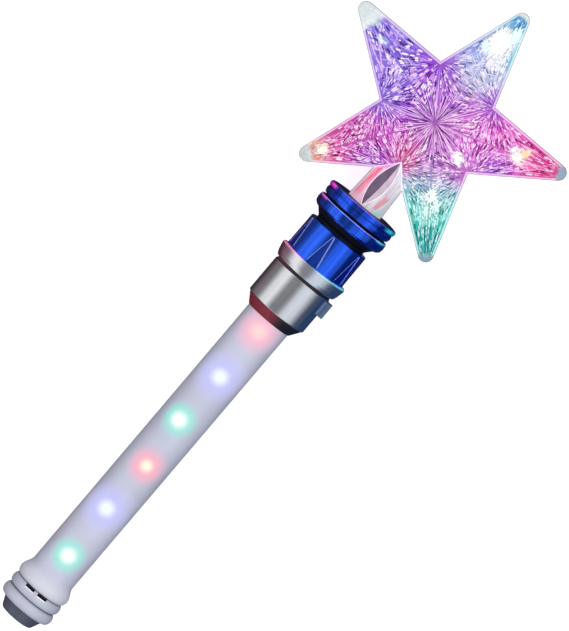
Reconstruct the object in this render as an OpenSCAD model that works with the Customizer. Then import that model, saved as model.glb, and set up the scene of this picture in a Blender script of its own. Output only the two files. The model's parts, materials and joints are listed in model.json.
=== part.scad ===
// Light-up toy star wand, lying on a flat surface with its star face up.
// X runs along the wand from the tail button to the star's top point, Z is up.
// Stations along the wand are called u and count from the tail end in mm.

/* [Handle] */
// Outer diameter of the frosted tube
tube_d = 25; // [24.6:0.1:25]
// Wall of the frosted tube
tube_wall = 1.6; // [1.3:0.1:1.9]
// Largest diameter of the tube's flared end
flare_d = 30; // [29:0.1:30.6]
// Distance between the lights in the handle
led_pitch = 29.5; // [26:0.5:29.5]
// Height of a light above the strip
led_h = 1.6; // [1:0.1:3]

/* [Tail cap] */
// Diameter of the end ring of the tail cap
cap_ring_d = 30.2; // [29.4:0.1:31]
// Diameter of the upper ring of the tail cap
cap_ring2_d = 29.7; // [29:0.1:30.4]
// Length of one lanyard slot
slot_l = 5.4; // [4:0.1:6]
// Width of one lanyard slot
slot_w = 1.5; // [1:0.1:1.6]
// Bridge between the two lanyard slots
slot_gap = 2.2; // [1.6:0.1:3]
// Diameter of the tail button at the cap's mouth
button_d = 23.8; // [23:0.1:23.8]
// Travel of the tail button
button_travel = 1.5; // [0.5:0.1:1.5]

/* [Collar] */
// Diameter of the silver sleeve
sleeve_d = 34.6; // [34:0.1:35.4]
// Diameter of the silver ring
ring_d = 39.6; // [38:0.1:41]
// Diameter of the blue barrel
barrel_d = 35; // [34.6:0.1:36]
// Number of triangular flutes round the barrel
flutes = 6; // [4:1:8]
// Depth of a flute at its middle
flute_depth = 0.45; // [0.3:0.05:0.6]
// Diameter of the crown's two flanges
flange_d = 43; // [42:0.2:45]
// Diameter of the waist under the crown
waist_d = 29.5; // [28.6:0.1:31]
// Length of the side button along the wand
side_button_l = 8.6; // [7:0.1:8.8]
// Width of the side button
side_button_w = 7.2; // [5:0.1:7.4]
// Height of the side button above the sleeve
side_button_h = 2.8; // [1.2:0.1:3.2]

/* [Star] */
// Distance from the star's centre to a notch between two arms
notch_r = 30.25; // [29:0.25:32]
// Rounding radius of each tip
tip_round = 4.15; // [3.4:0.05:4.6]
// Height of the star's centre above the seam, each side
star_h = 13; // [11.5:0.5:15]
// Height of the rim above the seam, each side
rim_h = 2.6; // [2.4:0.1:3]
// Wall of each shell
shell_wall = 1.8; // [1.4:0.1:2]
// Diameter of the clear neck at the crown
neck_d = 20.4; // [19:0.1:20.6]

/* [Hidden] */

eps = 0.02;
axis_z = flange_d / 2;                       // height of the wand's axis above the surface
// stations along the wand
u_cap = 6.2;                                 // tail face of the cap
u_seat = 18.9;                               // shoulder of the cap, where the tube starts
u_tube_end = 212;                            // top of the tube, inside the collar
u_gasket = 197;
u_sleeve = 202.5;
u_groove = 223.5;
u_ring = 225;
u_barrel = 232.5;
u_waist = 251.5;
u_crown = 257.2;
u_top = 271;                                 // top face of the crown
star_d = notch_r * cos(36);                  // distance from the star's centre to each edge line
sharp_r = star_d / sin(18);                  // where a tip would end if it were sharp
round_c = sharp_r - tip_round / sin(18);     // centre of a tip's rounding
tip_r = round_c + tip_round;                 // the star's real reach
u_star = 325.75;                             // the star's centre
length = u_star + tip_r;
u_notch = u_star - notch_r;
bore_r = tube_d / 2 - tube_wall;             // inside of the tube
cup_r = 12.1;                                // inside of the tube's flared end
plug_r = 11.8;                               // the part of the cap that goes into it
led_u0 = 42;                                 // first light
core_r = 15.4;
core_bore = 13.4;
button_u = 218.3;                            // middle of the side button
board_y = -6;                                // face of the control board towards the side button
seam_gap = 0.02;                             // half the gap between the two star shells

blue = [0.03, 0.10, 0.75];
silver = [0.66, 0.67, 0.70];
frost = [0.80, 0.80, 0.86];
clear = [0.88, 0.78, 0.95, 0.5];
dark = [0.06, 0.06, 0.07];
pcb = [0.90, 0.91, 0.88];
metal = [0.75, 0.74, 0.70];

// ---- helpers ----
// puts a shape that is drawn along +Z at station 0 onto the wand's axis
module on_axis(u = 0) { translate([u - length / 2, 0, axis_z]) rotate([0, 90, 0]) children(); }
// revolves a profile of [radius, station] round the wand's axis
module lathe() { on_axis() rotate_extrude($fn = 96) children(); }
// a box between two stations, given sideways (y) and upwards (z) from the axis
module block(u, y, z) { translate([u[0] - length / 2, y[0], axis_z + z[0]]) cube([u[1] - u[0], y[1] - y[0], z[1] - z[0]]); }
// a round bar across the wand, along Y
module cross_bar(u, z, r, y) { translate([u - length / 2, y[0], axis_z + z]) rotate([-90, 0, 0]) cylinder(h = y[1] - y[0], r = r, $fn = 40); }
// shapes drawn in the star's own frame: origin at its centre, X towards its top point
module in_star() { translate([u_star - length / 2, 0, axis_z]) children(); }
function unit(v) = v / norm(v);
// the direction of a path at its point j
function heading(w, j) = j == 0 ? unit(w[1] - w[0]) : j == len(w) - 1 ? unit(w[j] - w[j - 1]) : unit(unit(w[j] - w[j - 1]) + unit(w[j + 1] - w[j]));
// the faces of a tube made of n + 1 rings of k points
function tube_faces(n, k) = concat(
    [for (j = [0 : n - 1], i = [0 : k - 1]) each [
        [j * k + i, j * k + (i + 1) % k, (j + 1) * k + (i + 1) % k],
        [j * k + i, (j + 1) * k + (i + 1) % k, (j + 1) * k + i]]],
    [[for (i = [k - 1 : -1 : 0]) i], [for (i = [0 : k - 1]) n * k + i]]);
// a wire through a list of [u, y, z] points
module wire(path, d, k = 8) {
    w = [for (p = path) [p[0] - length / 2, p[1], p[2] + axis_z]];
    pts = [for (j = [0 : len(w) - 1]) let (v = heading(w, j), a = unit(cross(v, [0, 0, 1])), b = cross(a, v))
        each [for (i = [0 : k - 1]) w[j] + d / 2 * (cos(360 * i / k) * a + sin(360 * i / k) * b)]];
    polyhedron(points = pts, faces = tube_faces(len(w) - 1, k), convexity = 4);
}
// half a wave from 0 to 1
function ease(t) = 0.5 - 0.5 * cos(180 * t);
// the points of one ring of a swept coil
function coil_ring(c, a, r, k) = [for (i = [0 : k - 1]) let (q = 360 * i / k) [(c[0] + r * cos(q)) * cos(a), (c[0] + r * cos(q)) * sin(a), c[1] + r * sin(q)]];
// a coil round Z: radius r0 to r1, height z0 to z1
module coil(r0, r1, z0, z1, turns, wire_r, steps = 14, k = 6) {
    n = round(turns * steps);
    pts = [for (j = [0 : n]) let (t = j / n) each coil_ring([r0 + (r1 - r0) * t, z0 + wire_r + (z1 - z0 - 2 * wire_r) * t], 360 * turns * t, wire_r, k)];
    polyhedron(points = pts, faces = tube_faces(n, k), convexity = 6);
}

// ---- handle ----
module diffuser_tube() {
    r = tube_d / 2;
    f = flare_d / 2;
    color(frost) lathe() polygon(concat(
        [[r, u_tube_end]],
        [for (t = [0 : 0.125 : 1]) [r + (f - r) * ease(t), 29.5 - 7 * t]],
        [[f, 21.6], [f - 0.15, 20.6], [f - 0.5, 19.7], [f - 1.0, 19.1], [f - 1.3, u_seat + 0.1]],
        [[cup_r, u_seat + 0.1], [cup_r, 28], [bore_r, 31.5], [bore_r, u_tube_end]]));
}
module strip_carrier() {
    color([0.93, 0.93, 0.93]) union() {
        block([40, 206], [-10.3, 10.3], [-1.5, 0]);
        block([40, 206], [-0.75, 0.75], [-6, -1.5]);
    }
}
module led_strip() { color(pcb) block([39.2, 206], [-5, 5], [0, 1]); }
module chip_led(h) {
    union() {
        translate([-2.5, -2.5, 0]) cube([5, 5, h]);
        translate([0, 0, h - eps]) cylinder(h = 0.3 + eps, r = 1.9, $fn = 32);
    }
}
module handle_led(i) { translate([led_u0 + led_pitch * i - length / 2, 0, axis_z + 1]) chip_led(led_h); }
module handle_leds_green() { color([0.2, 0.95, 0.7]) for (i = [0, 3]) handle_led(i); }
module handle_leds_blue() { color([0.5, 0.5, 1]) for (i = [1, 4]) handle_led(i); }
module handle_leds_red() { color([1, 0.35, 0.45]) for (i = [2, 5]) handle_led(i); }
module strip_resistors() {
    color(dark) for (i = [0 : 4]) block([led_u0 + led_pitch * i + 9, led_u0 + led_pitch * i + 11], [2.2, 3.4], [1, 1.6]);
}
module strip_contacts() {
    color(metal) {
        block([38.15, 41.5], [-3.3, -2.6], [1, 1.4]);
        union() {
            block([39.3, 40.3], [3.6, 8.4], [1, 1.4]);
            block([38.7, 39.4], [7.4, 8.4], [1, 1.4]);
        }
    }
}
module strip_leads() {
    color([0.75, 0.1, 0.1]) wire([[206.05, -3, 0.6], [209, -3, 0.6], [212, -4.2, 0.6], [214.5, -4.2, 0.6]], 1);
    color([0.1, 0.1, 0.1]) wire([[206.05, 0, 0.6], [209.5, 0, 0.6], [212.5, -4.2, 3], [214.5, -4.2, 3]], 1);
    color([0.95, 0.95, 0.9]) wire([[206.05, 3, 0.6], [210, 3, 0.6], [212.6, -4.2, 5.4], [214.5, -4.2, 5.4]], 1);
}

// ---- collar ----
module sleeve_gasket() {
    color([0.16, 0.03, 0.05]) lathe() polygon([[tube_d / 2 + 0.05, u_gasket], [tube_d / 2 + 0.5, u_gasket], [16.0, 201.6], [16.5, 202.4], [tube_d / 2 + 0.05, 202.4]]);
}
// the opening for the side button, a straight slot through the collar's walls
module side_opening() {
    l = side_button_l + 0.4;
    w = side_button_w + 0.4;
    block([button_u - l / 2, button_u + l / 2], [-24, -10], [-w / 2, w / 2]);
}
module ferrule_sleeve() {
    r = sleeve_d / 2;
    color(silver) difference() {
        lathe() polygon([[tube_d / 2 + 0.1, u_sleeve], [r - 0.5, u_sleeve], [r - 0.15, u_sleeve + 0.15], [r, u_sleeve + 0.5], [r, u_groove - 0.4], [r - 0.12, u_groove - 0.12], [r - 0.4, u_groove],
            [core_r + 0.1, u_groove], [core_r + 0.1, 203.9], [tube_d / 2 + 0.1, 203.9]]);
        side_opening();
    }
}
module groove_band() { color(dark) lathe() translate([core_r + 0.1, u_groove + 0.05]) square([1.4, u_ring - u_groove - 0.1]); }
module ferrule_ring() {
    r = ring_d / 2;
    color(silver) lathe() polygon([[core_r + 0.1, u_ring], [r - 2.4, u_ring], [r - 1.4, u_ring + 1.2], [r - 0.6, u_ring + 2.6], [r - 0.1, u_ring + 4.2], [r, u_ring + 5.4],
        [r - 0.25, u_ring + 6.5], [r - 0.9, u_ring + 7.2], [r - 1.6, u_ring + 7.45], [core_r + 0.1, u_ring + 7.45]]);
}
module core_tube() {
    color([0.9, 0.9, 0.9]) difference() {
        union() {
            lathe() polygon([[tube_d / 2 + 0.1, 204], [core_r, 204], [core_r, 250.5], [core_bore, 250.5], [core_bore, 212.4], [tube_d / 2 + 0.1, 212.4]]);
            for (u = [229.5, 236]) cross_bar(u, 0, 2.2, [-14, board_y]);
        }
        side_opening();
        for (u = [229.5, 236]) cross_bar(u, 0, 0.95, [-12, board_y + 1]);
    }
}
module collar_barrel() {
    r = barrel_d / 2;
    color(blue) difference() {
        lathe() polygon([[core_r + 0.1, u_barrel], [r + 0.1, u_barrel], [r, u_barrel + 2], [r - 0.1, u_waist - 0.6], [r - 0.25, u_waist - 0.15], [r - 0.6, u_waist], [14.2, u_waist], [14.2, 250.6], [core_r + 0.1, 250.6]]);
        // flutes: upright triangles, narrow at the top
        for (i = [0 : flutes - 1]) on_axis() rotate([0, 0, 180 - 6 + 360 * i / flutes]) translate([r - flute_depth, 0, 0]) rotate([90, 0, 90])
            linear_extrude(3) polygon([[-2.9, u_barrel - 1], [2.9, u_barrel - 1], [0.55, u_waist - 1.5], [-0.55, u_waist - 1.5]]);
    }
}
module collar_crown() {
    r = flange_d / 2;
    w = waist_d / 2;
    color(blue) lathe() polygon([[11.6, 240], [core_bore - 0.1, 240], [core_bore - 0.1, 250.55], [14.1, 250.65], [14.1, u_waist + 0.1], [w, u_waist + 0.1], [w, u_waist + 1.4], [w + 0.6, u_waist + 2.6], [r - 1.3, u_crown - 0.2],
        [r - 0.4, u_crown + 0.4], [r, u_crown + 1.4], [r, u_crown + 4.3], [r - 0.3, u_crown + 5.8], [r - 1.1, u_crown + 6.9], [r - 2.4, u_crown + 7.6],
        [r - 2.4, u_crown + 8.1], [r - 1.2, u_crown + 8.7], [r - 0.4, u_crown + 9.5], [r - 0.1, u_crown + 10.4], [r - 0.1, u_crown + 12.2], [r - 0.4, u_crown + 13.2], [r - 1.1, u_top],
        [neck_d / 2 + 0.2, u_top], [neck_d / 2 + 0.2, 260], [5, 260], [5, 256], [11.6, 256]]);
}
module control_board() {
    color([0.1, 0.45, 0.25]) difference() {
        block([214, 239.5], [board_y, board_y + 1.2], [-9, 9]);
        for (u = [229.5, 236]) cross_bar(u, 0, 1.0, [board_y - 1, board_y + 3]);
    }
}
module controller_chip() { color(dark) block([222.5, 227], [board_y + 1.2, board_y + 2.8], [-7, -2]); }
module mode_switch() {
    color(dark) difference() {
        block([button_u - 3, button_u + 3], [board_y - 3.5, board_y], [-3, 3]);
        cross_bar(button_u, 0, 1.8, [board_y - 4, board_y - 0.6]);
    }
}
module mode_plunger() { color([0.85, 0.85, 0.8]) cross_bar(button_u, 0, 1.5, [-11.4, -8]); }
module mode_button() {
    r = sleeve_d / 2 + side_button_h;
    color(silver) union() {
        block([button_u - side_button_l / 2, button_u + side_button_l / 2], [-r, -12.4 + eps], [-side_button_w / 2, side_button_w / 2]);
        block([button_u - 5, button_u + 5], [-12.4, -11.4], [-4.5, 4.5]);
    }
}
module board_screws() {
    color(metal) for (u = [229.5, 236]) union() {
        cross_bar(u, 0, 1.6, [board_y + 1.2, board_y + 2.4]);
        cross_bar(u, 0, 0.9, [-11.5, board_y + 1.2 + eps]);
    }
}

// ---- star ----
// the rounded star's outline, moved in by a distance g: a list of [x, y], one notch then the tip's arc
function outline(g) = let (d = star_d - g, rr = tip_round - g, c = round_c, m = 4)
    [for (k = [0 : 4]) each concat([[d / cos(36) * cos(72 * k - 36), d / cos(36) * sin(72 * k - 36)]],
        [for (i = [-m : m]) let (a = 72 * k + 72 * i / m) [c * cos(72 * k) + rr * cos(a), c * sin(72 * k) + rr * sin(a)]])];
// the height of the sloping faces over a point, for a centre height h
function roof(p, h) = let (a = atan2(p[1], p[0]), k = round(a / 72), q = a - 72 * k, n = 72 * k + (q < 0 ? -72 : 72))
    h - (star_h - rim_h) / star_d * (p[0] * cos(n) + p[1] * sin(n));
// one solid under the sloping faces, standing on z = floor
module star_solid(g, h, floor) {
    o = outline(g);
    n = len(o);
    pts = concat([for (p = o) [p[0], p[1], floor]], [for (p = o) [p[0], p[1], roof(p, h)]], [[0, 0, h], [0, 0, floor]]);
    faces = concat([for (i = [0 : n - 1]) [i, (i + 1) % n, 2 * n + 1]],
        [for (i = [0 : n - 1]) [i, n + i, n + (i + 1) % n]],
        [for (i = [0 : n - 1]) [i, n + (i + 1) % n, (i + 1) % n]],
        [for (i = [0 : n - 1]) [n + i, 2 * n, n + (i + 1) % n]]);
    polyhedron(points = pts, faces = faces, convexity = 6);
}
module star_shell() {
    difference() {
        star_solid(0, star_h, seam_gap);
        star_solid(2.2, star_h - shell_wall, -1);
        // the gate where the neck's tongue goes in
        translate([-notch_r - 4, -4.8, -1]) cube([9, 9.6, 2.9]);
    }
}
module star_front_shell() { color(clear) in_star() star_shell(); }
module star_back_shell() { color(clear) in_star() mirror([0, 0, 1]) star_shell(); }
module star_led_board() {
    color(pcb) in_star() union() {
        cylinder(h = 0.8, r = 7, center = true, $fn = 48);
        for (k = [0 : 4]) rotate([0, 0, 72 * k]) translate([0, -1.5, -0.4]) cube([66, 3, 0.8]);
        rotate([0, 0, 180]) translate([0, -1.5, -0.4]) cube([18, 3, 0.8]);
        rotate([0, 0, 252]) translate([0, -1.5, -0.4]) cube([24, 3, 0.8]);
    }
}
module star_led(r, a) { in_star() rotate([0, 0, a]) translate([r, 0, 0.4]) scale(0.72) chip_led(1.8); }
module star_led_top() { color([0.75, 0.95, 1]) star_led(50, 0); }
module star_led_upper() { color([0.55, 0.4, 1]) star_led(47, 72); }
module star_led_left() { color([1, 0.6, 0.5]) star_led(56, 144); }
module star_led_lower() { color([0.3, 0.95, 0.75]) star_led(40, 216); }
module star_led_right() { color([1, 0.75, 0.6]) star_led(43, 288); }
module star_led_hub_right() { color([1, 0.9, 0.95]) star_led(21, 252); }
module star_led_hub_neck() { color([1, 0.3, 0.3]) star_led(13, 180); }
module star_neck() {
    r0 = neck_d / 2;
    r1 = r0 - 0.9;
    color(clear) difference() {
        union() {
            difference() {
                lathe() polygon([[0, 260.1], [r0, 260.1], [r0, u_top + 1], [r1, 290], [r1, 297], [0, 297]]);
                // the two sloping faces that thin the neck down to the star
                for (m = [0, 1]) on_axis() mirror([m, 0, 0]) rotate([90, 0, 0]) linear_extrude(40, center = true) polygon([[r0 + 0.3, u_top + 1.5], [2.7, u_notch - 1], [2.7, 300], [20, 300], [20, u_top + 1.5]]);
                // the V that fits between the two arms
                in_star() linear_extrude(40, center = true) polygon([[-notch_r - 0.15, 0], [-notch_r - 0.15 - 20 * cos(54), 20 * sin(54)], [20, 20], [20, -20], [-notch_r - 0.15 - 20 * cos(54), -20 * sin(54)]]);
            }
            block([u_notch - 8, u_notch + 7.5], [-4.6, 4.6], [-1.7, 1.7]);
        }
        on_axis(260) cylinder(h = 26, r = 3.5, $fn = 48);
        block([285, u_notch + 9], [-2, 2], [-0.8, 0.8]);
    }
}
module head_leads() {
    color([0.8, 0.15, 0.15]) wire([[236, board_y + 1.75, 5], [242, board_y + 1.75, 5], [252, 0.7, 0], [u_star - 18.6, 0.7, 0]], 1);
    color([0.12, 0.12, 0.12]) wire([[236, board_y + 1.75, -5], [242, board_y + 1.75, -5], [252, -0.7, 0], [u_star - 18.6, -0.7, 0]], 1);
}

// ---- tail ----
module end_cap() {
    a = cap_ring_d / 2;
    b = cap_ring2_d / 2;
    color([0.86, 0.86, 0.90]) difference() {
        union() {
            lathe() difference() {
                polygon([[12.2, u_cap], [a - 1.7, u_cap], [a - 0.8, 6.6], [a - 0.25, 7.4], [a, 8.4], [a, 10.6], [a - 0.3, 11.6], [a - 0.8, 12.3], [a - 1.2, 12.7],
                    [b - 0.8, 13.0], [b - 0.3, 13.7], [b, 14.7], [b, 16.2], [b - 0.25, 17.4], [b - 0.7, 18.3], [b - 1.3, u_seat],
                    [plug_r, u_seat], [plug_r, 27.6], [11.3, 28.4], [10.8, 28.4], [10.8, 14.8], [10.2, 14.8], [10.2, 11.2], [13.1, 11.2], [13.1, 7.6], [12.2, 7.6]]);
                translate([11.2, 25.3]) square([3, 1.1]);
            }
            for (y = [-9.2, 9.2]) on_axis(16.1) translate([0, y, 0]) cylinder(h = 2.8, r = 1.9, $fn = 32);
        }
        for (s = [-1, 1]) translate([0, s * (slot_gap + slot_l) / 2, 0]) block([18.75 - slot_w, 18.75], [-slot_l / 2, slot_l / 2], [8, 18]);
        for (y = [-9.2, 9.2]) on_axis(16) translate([0, y, 0]) cylinder(h = 4, r = 0.85, $fn = 32);
    }
}
module cap_seal() { color(dark) lathe() translate([11.64, 25.85]) circle(r = 0.41, $fn = 32); }
module tail_button() {
    r = button_d / 2;
    color([0.27, 0.28, 0.34]) lathe() polygon([[0, 0], [r - 3.1, 0], [r - 2.3, 0.35], [r - 1.8, 1.0], [r - 1.0, 3.0], [r - 0.2, 5.0], [r, 6.0], [r, 7.8], [12.8, 7.8], [12.8, 9.0], [10, 9.0], [10, 4.2], [3, 4.2], [3, 9.4], [0, 9.4]]);
}
module tail_plunger() { color([0.85, 0.85, 0.8]) on_axis(9.4) cylinder(h = 3.2, r = 1.3, $fn = 40); }
module button_spring() { color(metal) on_axis() coil(6.6, 6.6, 4.3, 14.7, 6, 0.4); }
module tail_switch() {
    color(dark) difference() {
        block([11.2, 14.8], [-4, 4], [-4, 4]);
        on_axis(11) cylinder(h = 3.4, r = 1.6, $fn = 40);
    }
}
module switch_board() {
    color([0.1, 0.45, 0.25]) difference() {
        on_axis(14.85) cylinder(h = 1.15, r = 10.6, $fn = 64);
        for (y = [-9.2, 9.2]) on_axis(14) translate([0, y, 0]) cylinder(h = 3, r = 2.1, $fn = 32);
    }
}
module battery_holder() {
    color([0.2, 0.2, 0.22]) difference() {
        lathe() polygon([[1.2, 19], [10.6, 19], [10.6, 20.2], [7.4, 20.2], [7.4, 38.6], [4, 38.6], [4, 38.05], [6, 38.05], [6, 20.2], [1.2, 20.2]]);
        for (y = [-9.2, 9.2]) on_axis(18) translate([0, y, 0]) cylinder(h = 3, r = 0.95, $fn = 32);
    }
}
module button_cells() { color(metal) for (i = [0 : 2]) on_axis(21.42 + 5.4 * i) union() {
    cylinder(h = 4.6, r = 5.8, $fn = 64);
    translate([0, 0, 4.6 - eps]) cylinder(h = 0.75 + eps, r = 5.2, $fn = 64);
} }
module battery_spring() { color(metal) on_axis() coil(4.6, 2.2, 20.25, 21.4, 2.5, 0.25); }
module battery_contact() { color(metal) on_axis(37.62) cylinder(h = 0.4, r = 5.7, $fn = 64); }
module negative_clip() { color(metal) block([20.25, 38.6], [7.5, 7.8], [-1, 2]); }
module holder_screws() {
    color(metal) for (y = [-9.2, 9.2]) union() {
        on_axis(20.22) translate([0, y, 0]) cylinder(h = 1.1, r = 1.4, $fn = 32);
        on_axis(16.4) translate([0, y, 0]) cylinder(h = 3.9, r = 0.8, $fn = 32);
    }
}

diffuser_tube();
strip_carrier();
led_strip();
handle_leds_green();
handle_leds_blue();
handle_leds_red();
strip_resistors();
strip_contacts();
strip_leads();
sleeve_gasket();
ferrule_sleeve();
groove_band();
ferrule_ring();
core_tube();
collar_barrel();
collar_crown();
control_board();
controller_chip();
mode_switch();
board_screws();
star_neck();
head_leads();
star_front_shell();
star_back_shell();
star_led_board();
star_led_top();
star_led_upper();
star_led_left();
star_led_lower();
star_led_right();
star_led_hub_right();
star_led_hub_neck();
end_cap();
cap_seal();
switch_board();
tail_switch();
battery_holder();
button_cells();
battery_spring();
battery_contact();
negative_clip();
holder_screws();
button_spring();
tail_button();
tail_plunger();
mode_button();
mode_plunger();
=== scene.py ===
import json
import math

import bmesh
import bpy
import numpy as np
from mathutils import Matrix, Vector


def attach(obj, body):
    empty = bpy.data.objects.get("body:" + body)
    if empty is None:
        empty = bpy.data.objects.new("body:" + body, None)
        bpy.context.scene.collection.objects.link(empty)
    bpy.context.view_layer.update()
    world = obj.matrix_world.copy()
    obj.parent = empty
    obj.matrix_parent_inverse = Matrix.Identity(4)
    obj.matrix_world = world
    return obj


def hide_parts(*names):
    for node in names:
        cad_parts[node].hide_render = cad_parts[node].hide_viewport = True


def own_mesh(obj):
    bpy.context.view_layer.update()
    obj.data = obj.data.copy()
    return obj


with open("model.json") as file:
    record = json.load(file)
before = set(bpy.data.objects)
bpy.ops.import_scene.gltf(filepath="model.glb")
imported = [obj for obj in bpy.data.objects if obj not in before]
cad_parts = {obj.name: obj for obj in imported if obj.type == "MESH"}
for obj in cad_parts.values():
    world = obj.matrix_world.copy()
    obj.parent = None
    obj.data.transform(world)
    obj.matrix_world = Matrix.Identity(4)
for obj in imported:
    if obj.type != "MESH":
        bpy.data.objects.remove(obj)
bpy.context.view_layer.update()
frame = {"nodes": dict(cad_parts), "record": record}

# ---------------------------------------------------------------- frame of the wand
# u is the station along the wand in mm from the tail, y and z are mm from its axis (z up, out of the star's face)
LEN = 395.666
AXIS_Z = 21.5
STAR_U = 325.75
NOTCH_R = 30.25
TIP_ROUND = 4.15
STAR_H = 13.0
RIM_H = 2.6
STAR_D = NOTCH_R * math.cos(math.radians(36))
ROUND_C = STAR_D / math.sin(math.radians(18)) - TIP_ROUND / math.sin(math.radians(18))


def W(u, y, z):
    return ((u - LEN / 2) * 0.001, y * 0.001, (z + AXIS_Z) * 0.001)


def lin(r, g, b):
    """A display colour 0-255 as linear light."""
    out = []
    for c in (r, g, b):
        c = c / 255
        out.append(c / 12.92 if c <= 0.04045 else ((c + 0.055) / 1.055) ** 2.4)
    return tuple(out)


# ---------------------------------------------------------------- node helper
class Mat:
    def __init__(self, name):
        self.m = bpy.data.materials.new(name)
        self.m.use_nodes = True
        self.t = self.m.node_tree
        self.t.nodes.clear()
        self.out = self.t.nodes.new("ShaderNodeOutputMaterial")

    def put(self, sock, v):
        if isinstance(v, bpy.types.NodeSocket):
            self.t.links.new(v, sock)
        elif v is not None:
            if sock.type == "RGBA" and len(v) == 3:
                v = (*v, 1)
            sock.default_value = v

    def node(self, kind, **props):
        n = self.t.nodes.new(kind)
        for k, v in props.items():
            setattr(n, k, v)
        return n

    def math(self, op, a, b=None, c=None, clamp=False):
        n = self.node("ShaderNodeMath", operation=op, use_clamp=clamp)
        for i, v in enumerate((a, b, c)):
            self.put(n.inputs[i], v)
        return n.outputs[0]

    def vec(self, op, a, b=None, scale=None):
        n = self.node("ShaderNodeVectorMath", operation=op)
        self.put(n.inputs[0], a)
        self.put(n.inputs[1], b)
        if scale is not None:
            self.put(n.inputs["Scale"], scale)
        return n.outputs["Value"] if op in ("LENGTH", "DISTANCE", "DOT_PRODUCT") else n.outputs["Vector"]

    def xyz(self, x, y, z):
        n = self.node("ShaderNodeCombineXYZ")
        for i, v in enumerate((x, y, z)):
            self.put(n.inputs[i], v)
        return n.outputs[0]

    def split(self, v):
        n = self.node("ShaderNodeSeparateXYZ")
        self.put(n.inputs[0], v)
        return n.outputs[0], n.outputs[1], n.outputs[2]

    def step(self, v, a, b, c=0.0, d=1.0, kind="SMOOTHSTEP"):
        n = self.node("ShaderNodeMapRange", interpolation_type=kind)
        for i, q in enumerate((v, a, b, c, d)):
            self.put(n.inputs[i], q)
        return n.outputs[0]

    def mix(self, f, a, b, mode="MIX"):
        n = self.node("ShaderNodeMix", data_type="RGBA", blend_type=mode)
        self.put(n.inputs[0], f)
        self.put(n.inputs[6], a)
        self.put(n.inputs[7], b)
        return n.outputs[2]

    def noise(self, v, scale, detail=2.0, rough=0.5):
        n = self.node("ShaderNodeTexNoise")
        self.put(n.inputs["Vector"], v)
        self.put(n.inputs["Scale"], scale)
        self.put(n.inputs["Detail"], detail)
        self.put(n.inputs["Roughness"], rough)
        return n.outputs[0]

    def white(self, v):
        n = self.node("ShaderNodeTexWhiteNoise", noise_dimensions="3D")
        self.put(n.inputs["Vector"], v)
        return n.outputs["Value"]

    def coords(self):
        """Object coordinates in mm as (u, y, z): every piece sits at the origin, so these are the wand's own."""
        tc = self.node("ShaderNodeTexCoord")
        v = self.vec("MULTIPLY", tc.outputs["Object"], (1000, 1000, 1000))
        return self.vec("ADD", v, (LEN / 2, 0, -AXIS_Z))

    def shader(self, **inputs):
        p = self.node("ShaderNodeBsdfPrincipled")
        for k, v in inputs.items():
            self.put(p.inputs[k.replace("_", " ")], v)
        self.t.links.new(p.outputs[0], self.out.inputs[0])
        return p

    def bump(self, p, height, strength, dist):
        n = self.node("ShaderNodeBump")
        n.inputs["Strength"].default_value = strength
        n.inputs["Distance"].default_value = dist
        self.put(n.inputs["Height"], height)
        self.t.links.new(n.outputs[0], p.inputs["Normal"])


# ---------------------------------------------------------------- mesh helpers
def mesh_object(name, verts, faces, mat=None, smooth=30, mat_index=None):
    me = bpy.data.meshes.new(name)
    me.from_pydata(verts, [], faces)
    me.update()
    bm = bmesh.new()
    bm.from_mesh(me)
    bmesh.ops.remove_doubles(bm, verts=bm.verts, dist=1e-7)
    bmesh.ops.recalc_face_normals(bm, faces=bm.faces)
    bm.to_mesh(me)
    bm.free()
    if smooth:
        me.polygons.foreach_set("use_smooth", [True] * len(me.polygons))
        me.set_sharp_from_angle(angle=math.radians(smooth))
    ob = bpy.data.objects.new(name, me)
    bpy.context.scene.collection.objects.link(ob)
    if mat is not None:
        me.materials.append(mat.m if isinstance(mat, Mat) else mat)
    return ob


def rounded(pts, n=6):
    """A profile of (r, u, corner radius): each corner with a radius becomes an arc."""
    out = []
    k = len(pts)
    for i, p in enumerate(pts):
        rad = p[2] if len(p) > 2 else 0
        b = Vector(p[:2])
        if rad <= 0:
            out.append(tuple(b))
            continue
        a, c = Vector(pts[i - 1][:2]), Vector(pts[(i + 1) % k][:2])
        d1, d2 = (a - b).normalized(), (c - b).normalized()
        ang = d1.angle(d2)
        if ang > math.pi - 0.02:
            out.append(tuple(b))
            continue
        cut = min(rad / math.tan(ang / 2), 0.48 * (a - b).length, 0.48 * (c - b).length)
        rr = cut * math.tan(ang / 2)
        cen = b + (d1 + d2).normalized() * (rr / math.sin(ang / 2))
        s, e = b + d1 * cut - cen, b + d2 * cut - cen
        tot = s.angle(e)
        cross = s.x * e.y - s.y * e.x
        for j in range(n + 1):
            t = tot * j / n * (1 if cross > 0 else -1)
            out.append((cen.x + s.x * math.cos(t) - s.y * math.sin(t), cen.y + s.x * math.sin(t) + s.y * math.cos(t)))
    return out


def lathe_data(prof, seg, close=True):
    verts, rings = [], []
    for r, u in prof:
        if r < 1e-6:
            rings.append([len(verts)] * seg)
            verts.append(W(u, 0, 0))
        else:
            rings.append(list(range(len(verts), len(verts) + seg)))
            verts += [W(u, r * math.sin(2 * math.pi * j / seg), r * math.cos(2 * math.pi * j / seg)) for j in range(seg)]
    faces = []
    pairs = [(i, i + 1) for i in range(len(rings) - 1)] + ([(len(rings) - 1, 0)] if close else [])
    for i, k in pairs:
        for j in range(seg):
            q = [rings[i][j], rings[i][(j + 1) % seg], rings[k][(j + 1) % seg], rings[k][j]]
            q = list(dict.fromkeys(q))
            if len(q) >= 3:
                faces.append(q)
    return verts, faces


def lathe(name, prof, mat, seg=128, smooth=35):
    v, f = lathe_data(prof, seg)
    return mesh_object(name, v, f, mat, smooth)


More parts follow.
